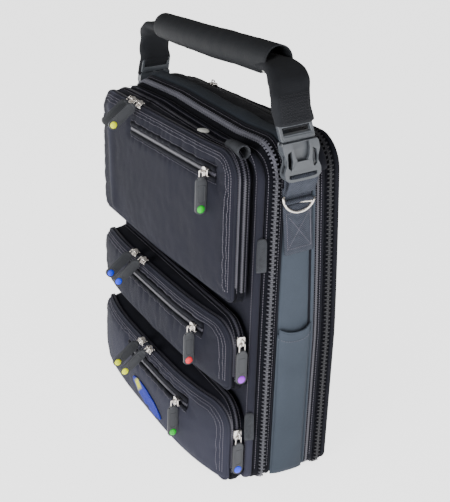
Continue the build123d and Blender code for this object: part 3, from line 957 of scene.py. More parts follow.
# %% Pocket walls
def pocket_wall(name, p):
    ring = outline(HALF, p["z0"], p["z1"], R_HIGH, R_LOW)
    steps = 14
    profile = [(0.0, j / steps) for j in range(steps + 1)] + [(-1.6, 1 - j / 3) for j in range(4)]
    seed = 30 + len(name)

    def shape(out, t, point):
        x, z, nx, nz, run = point
        front = rim_front(p, x) + DOOR_DEEP
        y = p["back"] + (front - p["back"]) * t
        if out == 0.0:
            puffed = 2.4 * math.sin(math.pi * t) ** 0.8 - 1.0
            flatter = 0.35 if nz < -0.7 else 1.0
            out = (puffed + 1.5 * ripple(seed, run, y, size=30.0) * math.sin(math.pi * t)) * flatter
            out = max(out, -2.0)
        return out, y

    # the profile runs from the back to the front, so its inner and outer sides change places
    wall = loft(f"{name}_wall", ring, profile[::-1], pocket_cloth, shape)
    finish_piece(tidy_mesh(wall), "front_cap", "pocket_nylon", f"{name}_pocket")
    return ring


for name, p in POCKETS.items():
    p["ring"] = pocket_wall(name, p)
print("pocket walls made")


# %% Pocket doors
def settle(obj, fixed, push, steps, stretch, cap):
    """Lets a cloth panel with fixed edges billow, as sewn slack does, and keeps the result."""
    scene = bpy.context.scene
    rest = [v.co.copy() for v in obj.data.vertices]
    group = obj.vertex_groups.new(name="sewn")
    group.add(fixed, 1.0, "REPLACE")
    cloth = obj.modifiers.new("slack", "CLOTH")
    cloth.settings.quality = 6
    cloth.settings.mass = 0.25
    cloth.settings.tension_stiffness = cloth.settings.compression_stiffness = 18
    cloth.settings.bending_stiffness = 0.6
    cloth.settings.shrink_min = stretch
    cloth.settings.vertex_group_mass = "sewn"
    cloth.point_cache.frame_start, cloth.point_cache.frame_end = 1, steps
    cloth.collision_settings.use_collision = False
    gravity = scene.gravity.copy()
    scene.gravity = push
    for f in range(1, steps + 1):
        scene.frame_set(f)
    made = bpy.data.meshes.new_from_object(obj.evaluated_get(bpy.context.evaluated_depsgraph_get()))
    obj.modifiers.remove(cloth)
    scene.gravity = gravity
    scene.frame_set(1)
    for vertex, start, moved in zip(obj.data.vertices, rest, made.vertices):
        step = moved.co - start
        if step.length > cap * MM:
            step *= cap * MM / step.length
        vertex.co = start + step
    obj.vertex_groups.clear()
    return obj


def skin_of(obj):
    """The settled cloth, kept so that seams, zippers and the patch can be laid on it."""
    corners = [vertex.co / MM for vertex in obj.data.vertices]
    return BVHTree.FromPolygons(corners, [tuple(q.vertices) for q in obj.data.polygons])


def on_skin(p, x, z):
    """Y of the cloth in front of a place on the pocket's face."""
    hit = p["skin"].ray_cast(Vector((x, -400, z)), Vector((0, 1, 0)))[0]
    return min(hit.y, face_front(p, x, z)) if hit else face_front(p, x, z)


def pocket_door(name, p):
    body, node = f"{name}_door", f"{name}_door"
    nx, nz = 96, max(20, round((p["z1"] - p["z0"]) / 4.2))
    grid = rounded_grid(HALF, p["z0"], p["z1"], R_HIGH, R_LOW, nx, nz)
    seed = 50 + len(name)

    def front(x, z):
        depth = edge_depth(x, z, HALF, p["z0"], p["z1"], R_HIGH, R_LOW)
        calm = min(1, max(0, depth - 6) / 16) * min(1, abs(z - p["face_z"]) / 12)
        fold = 1.7 * ripple(seed, x * 0.9, z * 0.5, size=42.0) + 0.6 * ripple(seed + 1, x, z, size=13.0)
        if name == "top":
            fold += 4.0 * math.exp(-((x + 146 + 0.12 * (z - 330)) / 13) ** 2)
        return face_front(p, x, z) - fold * calm

    face = panel(f"{name}_door_face", grid, nx, nz, front, pocket_cloth)
    fixed = [k for k, (x, z) in enumerate(grid)
             if edge_depth(x, z, HALF, p["z0"], p["z1"], R_HIGH, R_LOW) < 7
             or (abs(z - p["face_z"]) < 6.5 and p["face_x"][0] - 8 < x < p["face_x"][1] + 8)]
    settle(face, fixed, (0, -3.0, 0), 16, -0.035, 3.4)
    p["skin"] = skin_of(face)
    finish_piece(face, body, "pocket_nylon", node, f"{name}_door_zips")
    coarse = rounded_grid(HALF - 2.0, p["z0"] + 1.5, p["z1"] - 2.0, R_HIGH - 2, R_LOW - 2, 40, 16)
    inner = panel(f"{name}_door_lining", coarse, 40, 16,
                  lambda x, z: rim_front(p, x) + 6.5 + 0.8 * ripple(seed + 4, x, z, size=40.0),
                  lining_cloth, False)
    finish_piece(inner, body, "pocket_nylon")
    # the side return carries the rim zipper: a binding, the tape and the two rows of coil
    ring = p["ring"]

    def follow(out, y, point):
        return out, rim_front(p, point[0]) + 4.0 + y

    border = loft(f"{name}_door_side", ring, [(-0.4, -0.4), (0.5, 0.4), (0.9, 1.6), (0.6, 3.0), (0.9, 5.4),
                                             (-1.4, 5.4), (-1.6, 2.0), (-2.2, 0.4)], tape_cloth, follow)
    finish_piece(border, body, "zip_tape")
    binding = loft(f"{name}_door_binding", ring, bead_profile(0.2, -0.2, 1.9, 8), pocket_cloth, follow)
    finish_piece(binding, body, "pocket_nylon")
    line = [((x + nx_ * 0.9, rim_front(p, x) + 4.0 + 3.1, z + nz_ * 0.9), (nx_, 0, nz_))
            for x, z, nx_, nz_, _ in ring if z > p["z0"] + 16]
    chain = row(f"{name}_rim_chain", line, 1.5, coil_plastic, 0.95, 2.6, 1.0, shift=-0.7, lift=0.35,
                turning=1.0)
    finish_piece(chain, body, "zip_tape")
    for k, inset in ((1, 4.4), (2, 7.4), (3, 11.6)):
        seam = []
        for x, z, nx_, nz_, _ in ring:
            if z > p["z0"] + 8:
                px, pz = x - nx_ * inset, z - nz_ * inset
                seam.append(((px, on_skin(p, px, pz) - 0.3, pz), (0, -1, 0)))
        stitches(f"{name}_door_stitch_{k}", seam, body, "pocket_nylon", pitch=3.2, long=2.4, thick=0.85)


for name, p in POCKETS.items():
    pocket_door(name, p)
print("pocket doors made")

# %% [markdown]
# ## Face and side zippers
# Each front face has a shorter zipper set into a welt: two folded lips of cloth with the coil sunk between
# them. The two lower pockets have one more zipper on their side.


# %% Face zippers
def face_zipper(name, p):
    x0, x1 = p["face_x"]
    xs = [x0 + (x1 - x0) * i / 60 for i in range(61)]
    z = p["face_z"]
    body = f"{name}_door"

    def along(dz, dy):
        return [(x, on_skin(p, x, z + dz) - dy, z + dz) for x in xs]

    bed = tube(f"{name}_face_tape", along(0, 0.2), 8.2, tape_cloth, 12, flat=0.18, across=(0, 0, 1))
    finish_piece(bed, body, "zip_tape")
    for word, dz in (("upper", 6.6), ("lower", -6.2)):
        lip = tube(f"{name}_face_lip_{word}", along(dz, 0.8), 3.0, black_cloth, 12, flat=0.8,
                   across=(0, 0, 1))
        finish_piece(lip, body, "pocket_nylon")
        stitches(f"{name}_face_stitch_{word}",
                 [((x, y, zz), (0, -1, 0)) for x, y, zz in along(dz * 1.7, 0.4)], body,
                 "pocket_nylon", pitch=3.2, long=2.3, thick=0.7)
    chain = row(f"{name}_face_chain", [((x, y, zz), (0, -1, 0)) for x, y, zz in along(0, 1.0)], 1.5,
                coil_plastic, 0.95, 3.0, 1.2, shift=-0.8, lift=0.4, turning=1.0)
    finish_piece(chain, body, "zip_tape")


for name, p in POCKETS.items():
    face_zipper(name, p)


# %% Second zippers on the pocket walls
def wall_out(p, z, y):
    """How far the right wall stands out at a depth. The height z is not used."""
    front = p["rim_y"] + DOOR_DEEP
    t = (y - p["back"]) / (front - p["back"])
    return 2.4 * max(0.0, math.sin(math.pi * t)) ** 0.8 - 1.0


for name, p in POCKETS.items():
    y, ring = p["second"], p["ring"]
    low = p["z0"] + 9
    out = wall_out(p, 0, y) + 0.7
    tape = loft(f"{name}_second_tape", [q for q in ring], [(out + 0.5, y - 4.6), (out + 1.0, y - 3.4),
                (out + 1.0, y + 3.4), (out + 0.5, y + 4.6), (out - 1.2, y + 4.4), (out - 1.2, y - 4.4)],
                tape_cloth)
    finish_piece(tape, "front_cap", "zip_tape", *(["side_zips"] if name == "mid" else []))
    line = [((x + nx * (out + 1.0), y, z + nz * (out + 1.0)), (nx, 0, nz))
            for x, z, nx, nz, _ in ring if z > low]
    finish_piece(row(f"{name}_second_chain", line, 1.5, coil_plastic, 0.95, 2.6, 1.0, shift=-0.7,
                     lift=0.35, turning=1.0), "front_cap", "zip_tape")
    for k, dy in ((1, -5.4), (2, 5.4)):
        seam = [((x + nx * (out + 0.2), y + dy, z + nz * (out + 0.2)), (nx, 0, nz))
                for x, z, nx, nz, _ in ring if z > low]
        stitches(f"{name}_second_stitch_{k}", seam, "front_cap", "pocket_nylon")

# %% [markdown]
# ## Sliders and pulls
# One slider is a stepped metal plate with side flanges and a small bridge. The pull hangs on the bridge:
# a bent wire link and a moulded rubber tab with a coloured button. One maker serves all of them; a matrix
# puts each on its own zipper, read from the imported model's boxes and the pocket sizes.

# %% Slider and pull shapes
BLOCK_HIGH, BAR_RISE, LINK_LONG = 4.5, 3.8, 13.0


def placed(obj, matrix):
    """Moves a mesh made in mm at the origin to its place."""
    scale = Matrix.Diagonal((MM, MM, MM, 1))
    obj.data.transform(scale @ matrix @ scale.inverted())
    return obj


def slider(name, matrix, body, node, size=1.0):
    shield = [(-7, -3.6), (-4.2, -5.4), (1.0, -5.6), (4.6, -4.4), (7, -3.8), (7, 3.8), (4.6, 4.4), (1.0, 5.6),
              (-4.2, 5.4), (-7, 3.6)]
    lay = Matrix(((0, 1, 0, 0), (0, 0, 1, 0), (1, 0, 0, 0), (0, 0, 0, 1)))
    plate = extruded(f"{name}_plate", shield, 2.6, 4.4, nickel, bevel=0.5, segments=2)
    parts = [plate]
    for s in (-1, 1):
        rail = [(-6.2, s * 3.4), (6.2, s * 3.6), (6.2, s * 4.6), (1.0, s * 5.3), (-6.2, s * 4.6)]
        parts.append(extruded(f"{name}_rail_{s}", rail, 0.2, 2.8, nickel, bevel=0.3, segments=1))
    whole = joined(name, *parts)
    whole.data.transform(lay)
    height = BLOCK_HIGH + BAR_RISE
    arch = [(4.4 * math.cos(a), 0, 4.2 + (height - 4.2) * min(1.0, 1.25 * math.sin(a)) ** 0.8)
            for a in (math.pi * k / 14 for k in range(15))]
    bridge = tube(f"{name}_bridge", arch, 1.0, nickel, 8, across=(0, 1, 0), flat=0.8)
    whole = joined(name, whole, bridge)
    for polygon in whole.data.polygons:
        polygon.use_smooth = True
    whole.data.shade_smooth()
    placed(whole, matrix @ Matrix.Diagonal((size, size, size, 1)))
    return finish_piece(whole, body, "nickel", node)


def tab_outline(top, length, half, waist=0.8):
    """The tab's outline as (y, z): a narrower neck, straight sides and a round end."""
    low = top - length
    loop = [(-half * waist, top), (half * waist, top), (half, top - 3.5)]
    loop += [(half * math.cos(a), low + half * 0.75 * (1 - math.sin(a)))
             for a in (math.pi * k / 12 for k in range(0, 13))]
    return loop + [(-half, top - 3.5)]


def pull(name, matrix, body, node, color, across_x=False, button=True, dot_side=1):
    """Link and tab hanging from the origin, the tab's broad face towards X."""
    top = 2.9 - LINK_LONG if not across_x else 0.8 - LINK_LONG
    high = 2.9 if not across_x else 0.8
    half = 2.2 if not across_x else 3.6
    loop = []
    for cy, cz, a0 in ((half - 1.6, high - 2.4, 0), (-half + 1.6, high - 2.4, 90),
                       (-half + 1.6, top + 0.2, 180), (half - 1.6, top + 0.2, 270)):
        loop += [(0, cy + 1.6 * math.cos(math.radians(a0 + 22.5 * k)),
                  cz + 1.6 * math.sin(math.radians(a0 + 22.5 * k))) for k in range(5)]
    link = tube(name, loop, 0.8, nickel, 8, closed=True)
    placed(link, matrix)
    finish_piece(link, body, "nickel", node)
    outer = tab_outline(top + 1.5, 42.5, 6.9)
    tab = extruded(f"{name}_tab", outer, -1.5, 1.5, tab_rubber, bevel=0.7, segments=3)
    inner = tab_outline(top - 6.5, 21.0, 4.6, 1.0)
    ridge = [tube(f"{name}_ridge_{s}", [(s * 1.5, y, z) for y, z in inner], 0.45, tab_rubber, 6,
                  closed=True) for s in (-1, 1)]
    collar = [(-3.4, top + 4.2), (3.4, top + 4.2), (4.6, top), (-4.6, top)]
    neck = extruded(f"{name}_neck", collar, -1.9, 1.9, tab_rubber, bevel=0.6, segments=2)
    tab = placed(joined(f"{name}_tab", tab, *ridge, neck), matrix)
    tab.data.shade_smooth()
    finish_piece(tab, body, "tab_rubber")
    if button:
        dots = []
        for s in (-1, 1):
            rings = [(math.cos(math.pi / 2 * k / 6) * 4.9, math.sin(math.pi / 2 * k / 6) * 2.1)
                     for k in range(7)]
            points, faces = [], []
            for r, h in rings[:-1]:
                points += [(s * (1.35 + h), r * math.cos(2 * math.pi * i / 20),
                            top - 34.6 + r * math.sin(2 * math.pi * i / 20)) for i in range(20)]
            points.append((s * (1.35 + rings[-1][1]), 0, top - 34.6))
            for k in range(5):
                faces += [(k * 20 + i, k * 20 + (i + 1) % 20, k * 20 + 20 + (i + 1) % 20, k * 20 + 20 + i)
                          for i in range(20)]
            faces += [(100 + i, 100 + (i + 1) % 20, 120) for i in range(20)]
            faces.append(tuple(range(20))[::-1])
            dots.append(tidy_mesh(mesh_piece(f"{name}_dot_{s}", points, faces, dot_finish[color])))
        finish_piece(placed(joined(f"{name}_button", *dots), matrix), body, "tab_rubber")


# %% Sliders and pulls in place
RISE = BLOCK_HIGH + BAR_RISE
FACE_UP = Matrix.Rotation(math.radians(90), 4, "X")
for name, p in POCKETS.items():
    low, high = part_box(f"{name}_face_slider")
    x = p["face_slider"]
    y_base = high.y / MM + min(3.0, max(0.0, face_front(p, x, p["face_z"]) - 2.2 - high.y / MM))
    slider(f"{name}_face_slider_metal", Matrix.Translation((x, y_base, p["face_z"])) @ FACE_UP,
           f"{name}_face_slider", f"{name}_face_slider")
    pull(f"{name}_face_link", Matrix.Translation((x, y_base - RISE, p["face_z"])), f"{name}_face_pull",
         f"{name}_face_pull", p["dots"][0])
    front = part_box(f"{name}_door")[0].y / MM
    tilt = math.radians(40)
    for k, (side, x) in enumerate(zip(("left", "right"), p["rim"])):
        on_edge = Matrix.Translation((x, front - 0.5, p["z1"] + 2.0)) @ Matrix.Rotation(tilt, 4, "X")
        on_edge = on_edge @ Matrix.Translation((0, 0, 0.35))
        slider(f"{name}_rim_slider_metal_{side}", on_edge, f"{name}_rim_slider_{side}",
               f"{name}_rim_slider_{side}")
        swing = Matrix.Translation((0, 0, RISE)) @ Matrix.Rotation(math.radians(-90), 4, "X")
        pull(f"{name}_rim_link_{side}", on_edge @ swing, f"{name}_rim_pull_{side}",
             f"{name}_rim_pull_{side}", p["dots"][1 + k], button=p["dots"][1 + k] is not None)
for name, color in (("mid", "purple"), ("bottom", "blue")):
    low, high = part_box(f"{name}_side_slider")
    z = (low.z + high.z) / 2 / MM
    base = low.x / MM
    to_side = Matrix.Translation((base, -66.0, z)) @ Matrix.Rotation(math.radians(90), 4, "Y")
    slider(f"{name}_side_slider_metal", to_side, f"{name}_side_slider", f"{name}_side_slider")
    pull(f"{name}_side_link", Matrix.Translation((base + BLOCK_HIGH + 1.25, -66.0, z - 2.2)),
         f"{name}_side_pull", f"{name}_side_pull", color, across_x=True)
low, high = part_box("rear_slider")
slider("rear_slider_metal", Matrix.Translation(((low.x + high.x) / 2 / MM,
                                                leaned((low.y + high.y) / 2 / MM, 440), low.z / MM)),
       "rear_slider", "rear_slider")
print("sliders made")

# %% [markdown]
# ## Side webbing and D-rings
# A strip of heavy webbing is sewn up each side. It turns round the bar of a D-ring and goes on up to the
# buckle. A strip is a flattened rod following its path, with the weave drawn in its own UV map.


# %% Webbing
def strap(name, path, wide, thick, material, waver=0.0, seed=0, across=(0, 1, 0), corner=3):
    """A strip of webbing along a path, with square edges a little rounded."""
    path = [Vector(q) for q in path]
    across = Vector(across).normalized()
    cells = 14
    section = [(-1 + 2 * i / cells, 1) for i in range(cells + 1)] + \
              [(1 - 2 * i / cells, -1) for i in range(cells + 1)]
    points, run = [], [0.0]
    for i, q in enumerate(path):
        t = (path[min(i + 1, len(path) - 1)] - path[max(i - 1, 0)]).normalized()
        out = across.cross(t)
        for u, s in section:
            edge = 1 - 0.45 * abs(u) ** 10
            dip = waver * ripple(seed, i * 4.0, u * 10, size=20.0)
            points.append(q + across * (u * wide / 2) + out * (s * thick / 2 * edge + dip))
        run.append(run[-1] + (path[min(i + 1, len(path) - 1)] - q).length)
    m = len(section)
    faces, uvs = [], []
    for i in range(len(path) - 1):
        for j in range(m):
            j2 = (j + 1) % m
            faces.append((i * m + j, (i + 1) * m + j, (i + 1) * m + j2, i * m + j2))
            v0, v1 = section[j][0] * wide / 2, section[j2][0] * wide / 2
            uvs.append(((run[i], v0), (run[i + 1], v0), (run[i + 1], v1), (run[i], v1)))
    for i, order in ((0, 1), (len(path) - 1, -1)):
        faces.append(tuple(i * m + j for j in range(m))[::order])
        uvs.append(tuple((run[i], section[j][0] * wide / 2) for j in range(m))[::order])
    return tidy_mesh(mesh_piece(name, points, faces, material, uvs), 0.01)


def cross_box(cx, cz, w, h, x, side):
    """The line of a box stitch with a cross in it."""
    corners = [(-w, -h), (w, -h), (w, h), (-w, h), (-w, -h), (w, h), (w, -h), (-w, h)]
    line = []
    for (a, b), (c, d) in zip(corners, corners[1:]):
        for k in range(8):
            line.append(((side * x, cx + a + (c - a) * k / 8, cz + b + (d - b) * k / 8), (side, 0, 0)))
    return line


STRAP_X = 228.0
PIVOT_Y, RING_Z, PIVOT_Z = -8.0, 373.0, 392.0
WEB_LEAN, HANDLE_LEAN = math.radians(6.0), math.radians(6.0)


# by height: how far the sleeves bulge forwards, how far the left end stays back, and how far both
# come inwards at the top
BULGE = [(392, 0), (434, -1), (467, -6), (480, -9), (495, -8), (508, -3), (521, 2), (560, 2)]
UPRIGHT = [(400, 0), (434, 10), (467, 22), (495, 24), (521, 6), (560, 5)]
INWARD = 8.0


def leaning(obj, angle, z, level=None):
    """Tips a finished mesh forwards about a line along X, as the side straps and the handle do."""
    turn = Matrix.Translation((0, PIVOT_Y * MM, z * MM)) @ Matrix.Rotation(angle, 4, "X")
    obj.data.transform(turn @ Matrix.Translation((0, 0, -z * MM)))
    if z == PIVOT_Z:
        # the soft sleeves bulge forwards, and the left end of the handle stays upright
        for vertex in obj.data.vertices:
            high = level or vertex.co.z / MM
            share = clamped(0.5 - vertex.co.x / MM / (2 * STRAP_X))
            if not level:
                vertex.co.x -= math.copysign(INWARD * rising(high, 440, 500), vertex.co.x) * MM
            vertex.co.y += (between(high, BULGE) + share * between(high, UPRIGHT)) * MM
    return obj


def narrowed(obj, wide, high):
    """Makes the buckle a little slimmer about its own middle."""
    middle = Matrix.Translation((0, 0, 0.430))
    obj.data.transform(middle @ Matrix.Diagonal((1, wide, high, 1)) @ middle.inverted())
    return obj


for side, word in ((1, "right"), (-1, "left")):
    flat = [(side * 217.6, 0, z) for z in range(309, 366, 4)]
    turn = [(side * (219.6 + 3.4 * math.cos(a)), 0, 373 + 3.4 * math.sin(a))
            for a in (math.radians(200 - 25 * k) for k in range(9))]
    web = strap(f"side_web_{word}", flat + [(side * 217.8, 0, 370)], 38, 2.4, side_web, 0.25, 60 + side)
    fold = strap(f"side_web_turn_{word}", [(side * 217.6, 0, 366)] + turn, 36.6, 1.9, side_web)
    upper = strap(f"side_web_upper_{word}", [(side * 217.2, 0, z) for z in range(376, 394, 3)], 37, 2.0,
                  side_web)
    whole = joined(f"side_webbing_{word}", web, fold, upper)
    leaning(whole, WEB_LEAN, RING_Z)
    finish_piece(whole, "centre_section", "webbing", *(["side_webbing"] if side > 0 else []))
    box = cross_box(0, 338, 15.5, 22, 219.0, side)
    leaning(stitches(f"side_web_stitch_{word}", box, "centre_section", "webbing", pitch=2.4, long=1.9,
                     thick=0.7), WEB_LEAN, RING_Z)
    loop = [(side * 218.6, 0, 384), (side * 218.6, 0, 396), (side * 219.4, 0, 402), (side * 222.0, 0, 405.4),
            (side * 226.0, 0, 406.2), (side * 229.2, 0, 404.2), (side * 229.8, 0, 400.0),
            (side * 227.6, 0, 394.0), (side * 223.6, 0, 388.5), (side * 221.4, 0, 383.0)]
    short = strap(f"buckle_web_{word}", loop, 37.4, 2.0, side_web, 0.1, 64)
    leaning(short, HANDLE_LEAN, PIVOT_Z)
    finish_piece(short, "buckle_sockets", "webbing", *(["loop_webbing"] if side > 0 else []))
    ring_path = [(side * 219.6, y, 373.0) for y in (-19.5, -13, -6, 0, 6, 13, 19.5)]
    bow = [(side * 220.2, 20.2 * math.cos(a), 378.0 + 17.6 * math.sin(a))
           for a in (math.radians(-k) for k in range(0, 181, 10))]
    ring = tube(f"d_ring_metal_{word}", ring_path + bow, 1.7, nickel, 12, closed=True)
    leaning(ring, math.radians(-4.0), RING_Z)
    finish_piece(ring, f"d_ring_{word}", "nickel", f"d_ring_{word}")
print("webbing made")

# %% [markdown]
# ## Buckles
# The lower half is a flat housing with a long dished mouth in its face, a window on each side where the
# prongs show, and a curved foot with a slot for the webbing. The upper half is a frame with two prongs and
# a guide. Both are flat shapes cut in outline, given depth, and bevelled as moulded plastic is.


# %% Buckle shapes
def mirrored_loop(half):
    """A loop from its right half, given from top to bottom."""
    return half + [(-y, z) for y, z in half[::-1]]


BODY = mirrored_loop([(24.8, 446.6), (26.4, 444.0), (26.4, 436.0), (24.6, 431.0), (22.6, 426.0),
                      (22.4, 421.0),
                      (24.4, 417.0), (26.2, 412.5), (26.4, 408.0), (25.2, 403.5), (21.6, 400.8),
                      (14.0, 399.2), (6.0, 398.8)])
WINDOW = [(15.6, 437.0), (20.6, 434.6), (22.0, 426.0), (20.8, 417.4), (16.4, 413.6), (13.8, 424.0)]
SLOT = mirrored_loop([(20.2, 408.4), (20.4, 404.6), (17.0, 403.4), (6.0, 402.8)])
DISH = mirrored_loop([(12.4, 445.4), (12.0, 438.0), (10.0, 429.0), (6.6, 422.4), (2.4, 419.4)])
INSIDE = mirrored_loop([(24.0, 446.0), (24.0, 436.0), (21.0, 426.0), (21.0, 414.0), (8.0, 411.0)])
FRAME = mirrored_loop([(23.4, 467.6), (24.8, 466.0), (24.8, 450.0), (23.6, 447.4)])
FRAME_SLOT = [(20.0, 463.4), (20.0, 455.4), (-20.0, 455.4), (-20.0, 463.4)]


def buckle(side, word):
    x0, x1 = 218.0, 230.6

    def part(name, loop, a, b, holes=(), bevel=0.9, material=buckle_plastic):
        return extruded(name, loop, side * a, side * b, material, holes, bevel, 3)

    windows = [WINDOW, [(-y, z) for y, z in WINDOW[::-1]]]
    back_plate = part("back", BODY, x0, x0 + 2.8, [SLOT])
    # painted shade: a near-black plate behind the windows and dish stands in for the shade inside the housing
    inside = part(f"buckle_inside_{word}", INSIDE, x0 + 2.8, x0 + 3.4, bevel=0.1, material=buckle_shadow)
    leaning(narrowed(inside, 0.88, 0.96), HANDLE_LEAN, PIVOT_Z)
    finish_piece(inside, "buckle_sockets", "buckle_plastic")
    face_plate = part("face", BODY, x1 - 4.0, x1, [SLOT, DISH[::-1], *windows])
    bed = mirrored_loop([(13.4, 446.4), (13.0, 437.0), (11.0, 427.0), (7.0, 420.6), (2.0, 417.6)])
    dish = part("dish", bed, x1 - 8.0, x1 - 5.6, bevel=0.3)
    arch = mirrored_loop([(9.5, 423.4), (14.0, 417.4), (18.6, 412.6), (19.4, 410.6), (9.0, 412.2)])
    brow = part("brow", arch, x1 - 3.2, x1 + 0.5, bevel=0.9)
    foot = part("foot", mirrored_loop([(25.4, 410.2), (26.2, 407.6), (24.8, 403.4), (21.2, 400.6),
                                       (14.0, 399.4), (6.0, 399.0)]), x0 + 2, x1 - 2, [SLOT], 0.6)
    sides = [part("side", [(s * 22.2, 446.4), (s * 26.2, 443.6), (s * 26.2, 436.6), (s * 23.0, 430.4)],
                  x0 + 2, x1 - 2, bevel=0.5) for s in (-1, 1)]
    whole = joined(f"buckle_socket_{word}", back_plate, face_plate, dish, brow, foot, *sides)
    leaning(narrowed(whole, 0.88, 0.96), HANDLE_LEAN, PIVOT_Z)
    finish_piece(whole, "buckle_sockets", "buckle_plastic", *(["buckle_sockets"] if side > 0 else []))
    frame_part = part("frame", FRAME, x0 + 2.6, x1 - 2.6, [FRAME_SLOT], 1.2)
    ridge = part("ridge", [(21.6, 453.4), (21.6, 449.6), (-21.6, 449.6), (-21.6, 453.4)], x0 + 2.2, x1 - 2.0,
                 bevel=0.8)
    prongs = []
    for s in (-1, 1):
        loop = [(s * 15.5, 447.8), (s * 20.4, 447.8), (s * 20.2, 434.0), (s * 21.8, 428.0), (s * 21.6, 419.0),
                (s * 18.4, 415.4), (s * 16.4, 419.0)]
        prongs.append(part("prong", loop, x0 + 3.6, x1 - 6.2, bevel=0.9))
    guide = part("guide", [(3.0, 447.8), (3.0, 424.0), (-3.0, 424.0), (-3.0, 447.8)], x0 + 3.4, x1 - 6.4)
    whole = joined(f"buckle_plug_{word}", frame_part, ridge, *prongs, guide)
    leaning(narrowed(whole, 0.88, 0.96), HANDLE_LEAN, PIVOT_Z)
    finish_piece(whole, "handle", "buckle_plastic", *(["buckle_plugs"] if side > 0 else []))


for side, word in ((1, "right"), (-1, "left")):
    buckle(side, word)
print("buckles made")

# %% [markdown]
# ## Handle
# Padded sleeves of heavy cloth rise from the buckles and bend into the grip. The grip is a smooth wrap
# closed round the padding with open ends. The sleeves are lofted along their bend, soft and creased, with
# a sewn patch of zigzag stitching above a frayed hem.


# %% Sleeves and grip
def sleeve(side, word):
    path = [(STRAP_X, z) for z in range(464 if side > 0 else 442, 486, 4)]
    path += [(181 + 46.8 * math.cos(a), 486 + 35 * math.sin(a))
             for a in (math.radians(7.5 * k) for k in range(1, 13))]
    path += [(172, 521), (163, 521), (154, 521)]
    cells, points = 26, []
    centre_run = 0.0
    run = [0.0]
    for i, (x, z) in enumerate(path):
        ahead, behind = path[min(i + 1, len(path) - 1)], path[max(i - 1, 0)]
        t = Vector((ahead[0] - behind[0], 0, ahead[1] - behind[1])).normalized()
        out = Vector((0, 1, 0)).cross(t)
        w = i / (len(path) - 1)
        wide = 25.2 - 5.0 * w - 3.6 * max(0, w - 0.7) * 4
        thick = 4.4 + 4.4 * math.sin(math.pi * min(1, w * 1.15)) + 3.6 * max(0.0, w - 0.7) * 3
        for k in range(cells):
            a = 2 * math.pi * k / cells
            c, s = math.cos(a), math.sin(a)
            u = math.copysign(abs(c) ** 0.55, c) * wide
            v = math.copysign(abs(s) ** 0.75, s) * thick
            crease = 2.4 * ripple(70 + side, i * 5.0, u, size=11.0) + 1.6 * ripple(72, u, i * 2.0, size=9.0)
            fray = 0.0
            if i == 0:
                fray = 1.6 * ripple(77, u * 2, side, size=3.0) - 0.8
            p = Vector((x, 0, z)) + Vector((0, 1, 0)) * u + out * (v + crease * min(1, w * 3))
            points.append((side * p.x, p.y, p.z + fray))
        run.append(run[-1] + math.dist((x, z), ahead))
    faces, uvs = [], []
    for i in range(len(path) - 1):
        for k in range(cells):
            k2 = (k + 1) % cells
            faces.append((i * cells + k, (i + 1) * cells + k, (i + 1) * cells + k2, i * cells + k2))
            uvs.append(((run[i], 3 * k), (run[i + 1], 3 * k), (run[i + 1], 3 * k + 3), (run[i], 3 * k + 3)))
    for i, order in ((0, 1), (len(path) - 1, -1)):
        faces.append(tuple(i * cells + k for k in range(cells))[::order])
        uvs.append(tuple((run[i], 3.0 * k) for k in range(cells))[::order])
    made = tidy_mesh(mesh_piece(f"handle_sleeve_{word}", points, faces, strap_cloth, uvs))
    soft = made.modifiers.new("rounder", "SUBSURF")
    soft.levels = soft.render_levels = 1
    leaning(made, HANDLE_LEAN, PIVOT_Z)
    finish_piece(made, "handle", "webbing", *(["handle_straps"] if side > 0 else []))
    zigzag = []
    for r in range(9):
        z = 468.5 + 3.6 * r
        bend = 0.0 if z < 486 else 46.8 * (1 - math.sqrt(1 - ((z - 486) / 35) ** 2))
        thick = 5.6 + 5.4 * min(1.0, (z - 464) / 24)
        for k in range(25):
            y = (-18 + 36 * k / 24) * (1 if r % 2 else -1)
            zigzag.append(((side * (STRAP_X - bend + thick), y, z + (1.2 if k % 2 else -1.2)),
                           (side, 0, 0.2)))
    sewn = stitches(f"sleeve_stitch_{word}", zigzag, "handle", "webbing", pitch=2.4, long=2.0, thick=0.7,
                    yarn=dark_thread)
    leaning(sewn, HANDLE_LEAN, PIVOT_Z)
    web = strap(f"plug_web_{word}", [(side * 226.0, 0, 468), (side * 226.4, 0, 464.6), (side * 225.6, 0, 461),
                                     (side * 222.6, 0, 459.4), (side * 219.8, 0, 461.4),
                                     (side * 220.4, 0, 466), (side * 223, 0, 469)], 37, 2.0, strap_cloth)
    finish_piece(leaning(web, HANDLE_LEAN, PIVOT_Z), "handle", "webbing")


for side, word in ((1, "right"), (-1, "left")):
    sleeve(side, word)


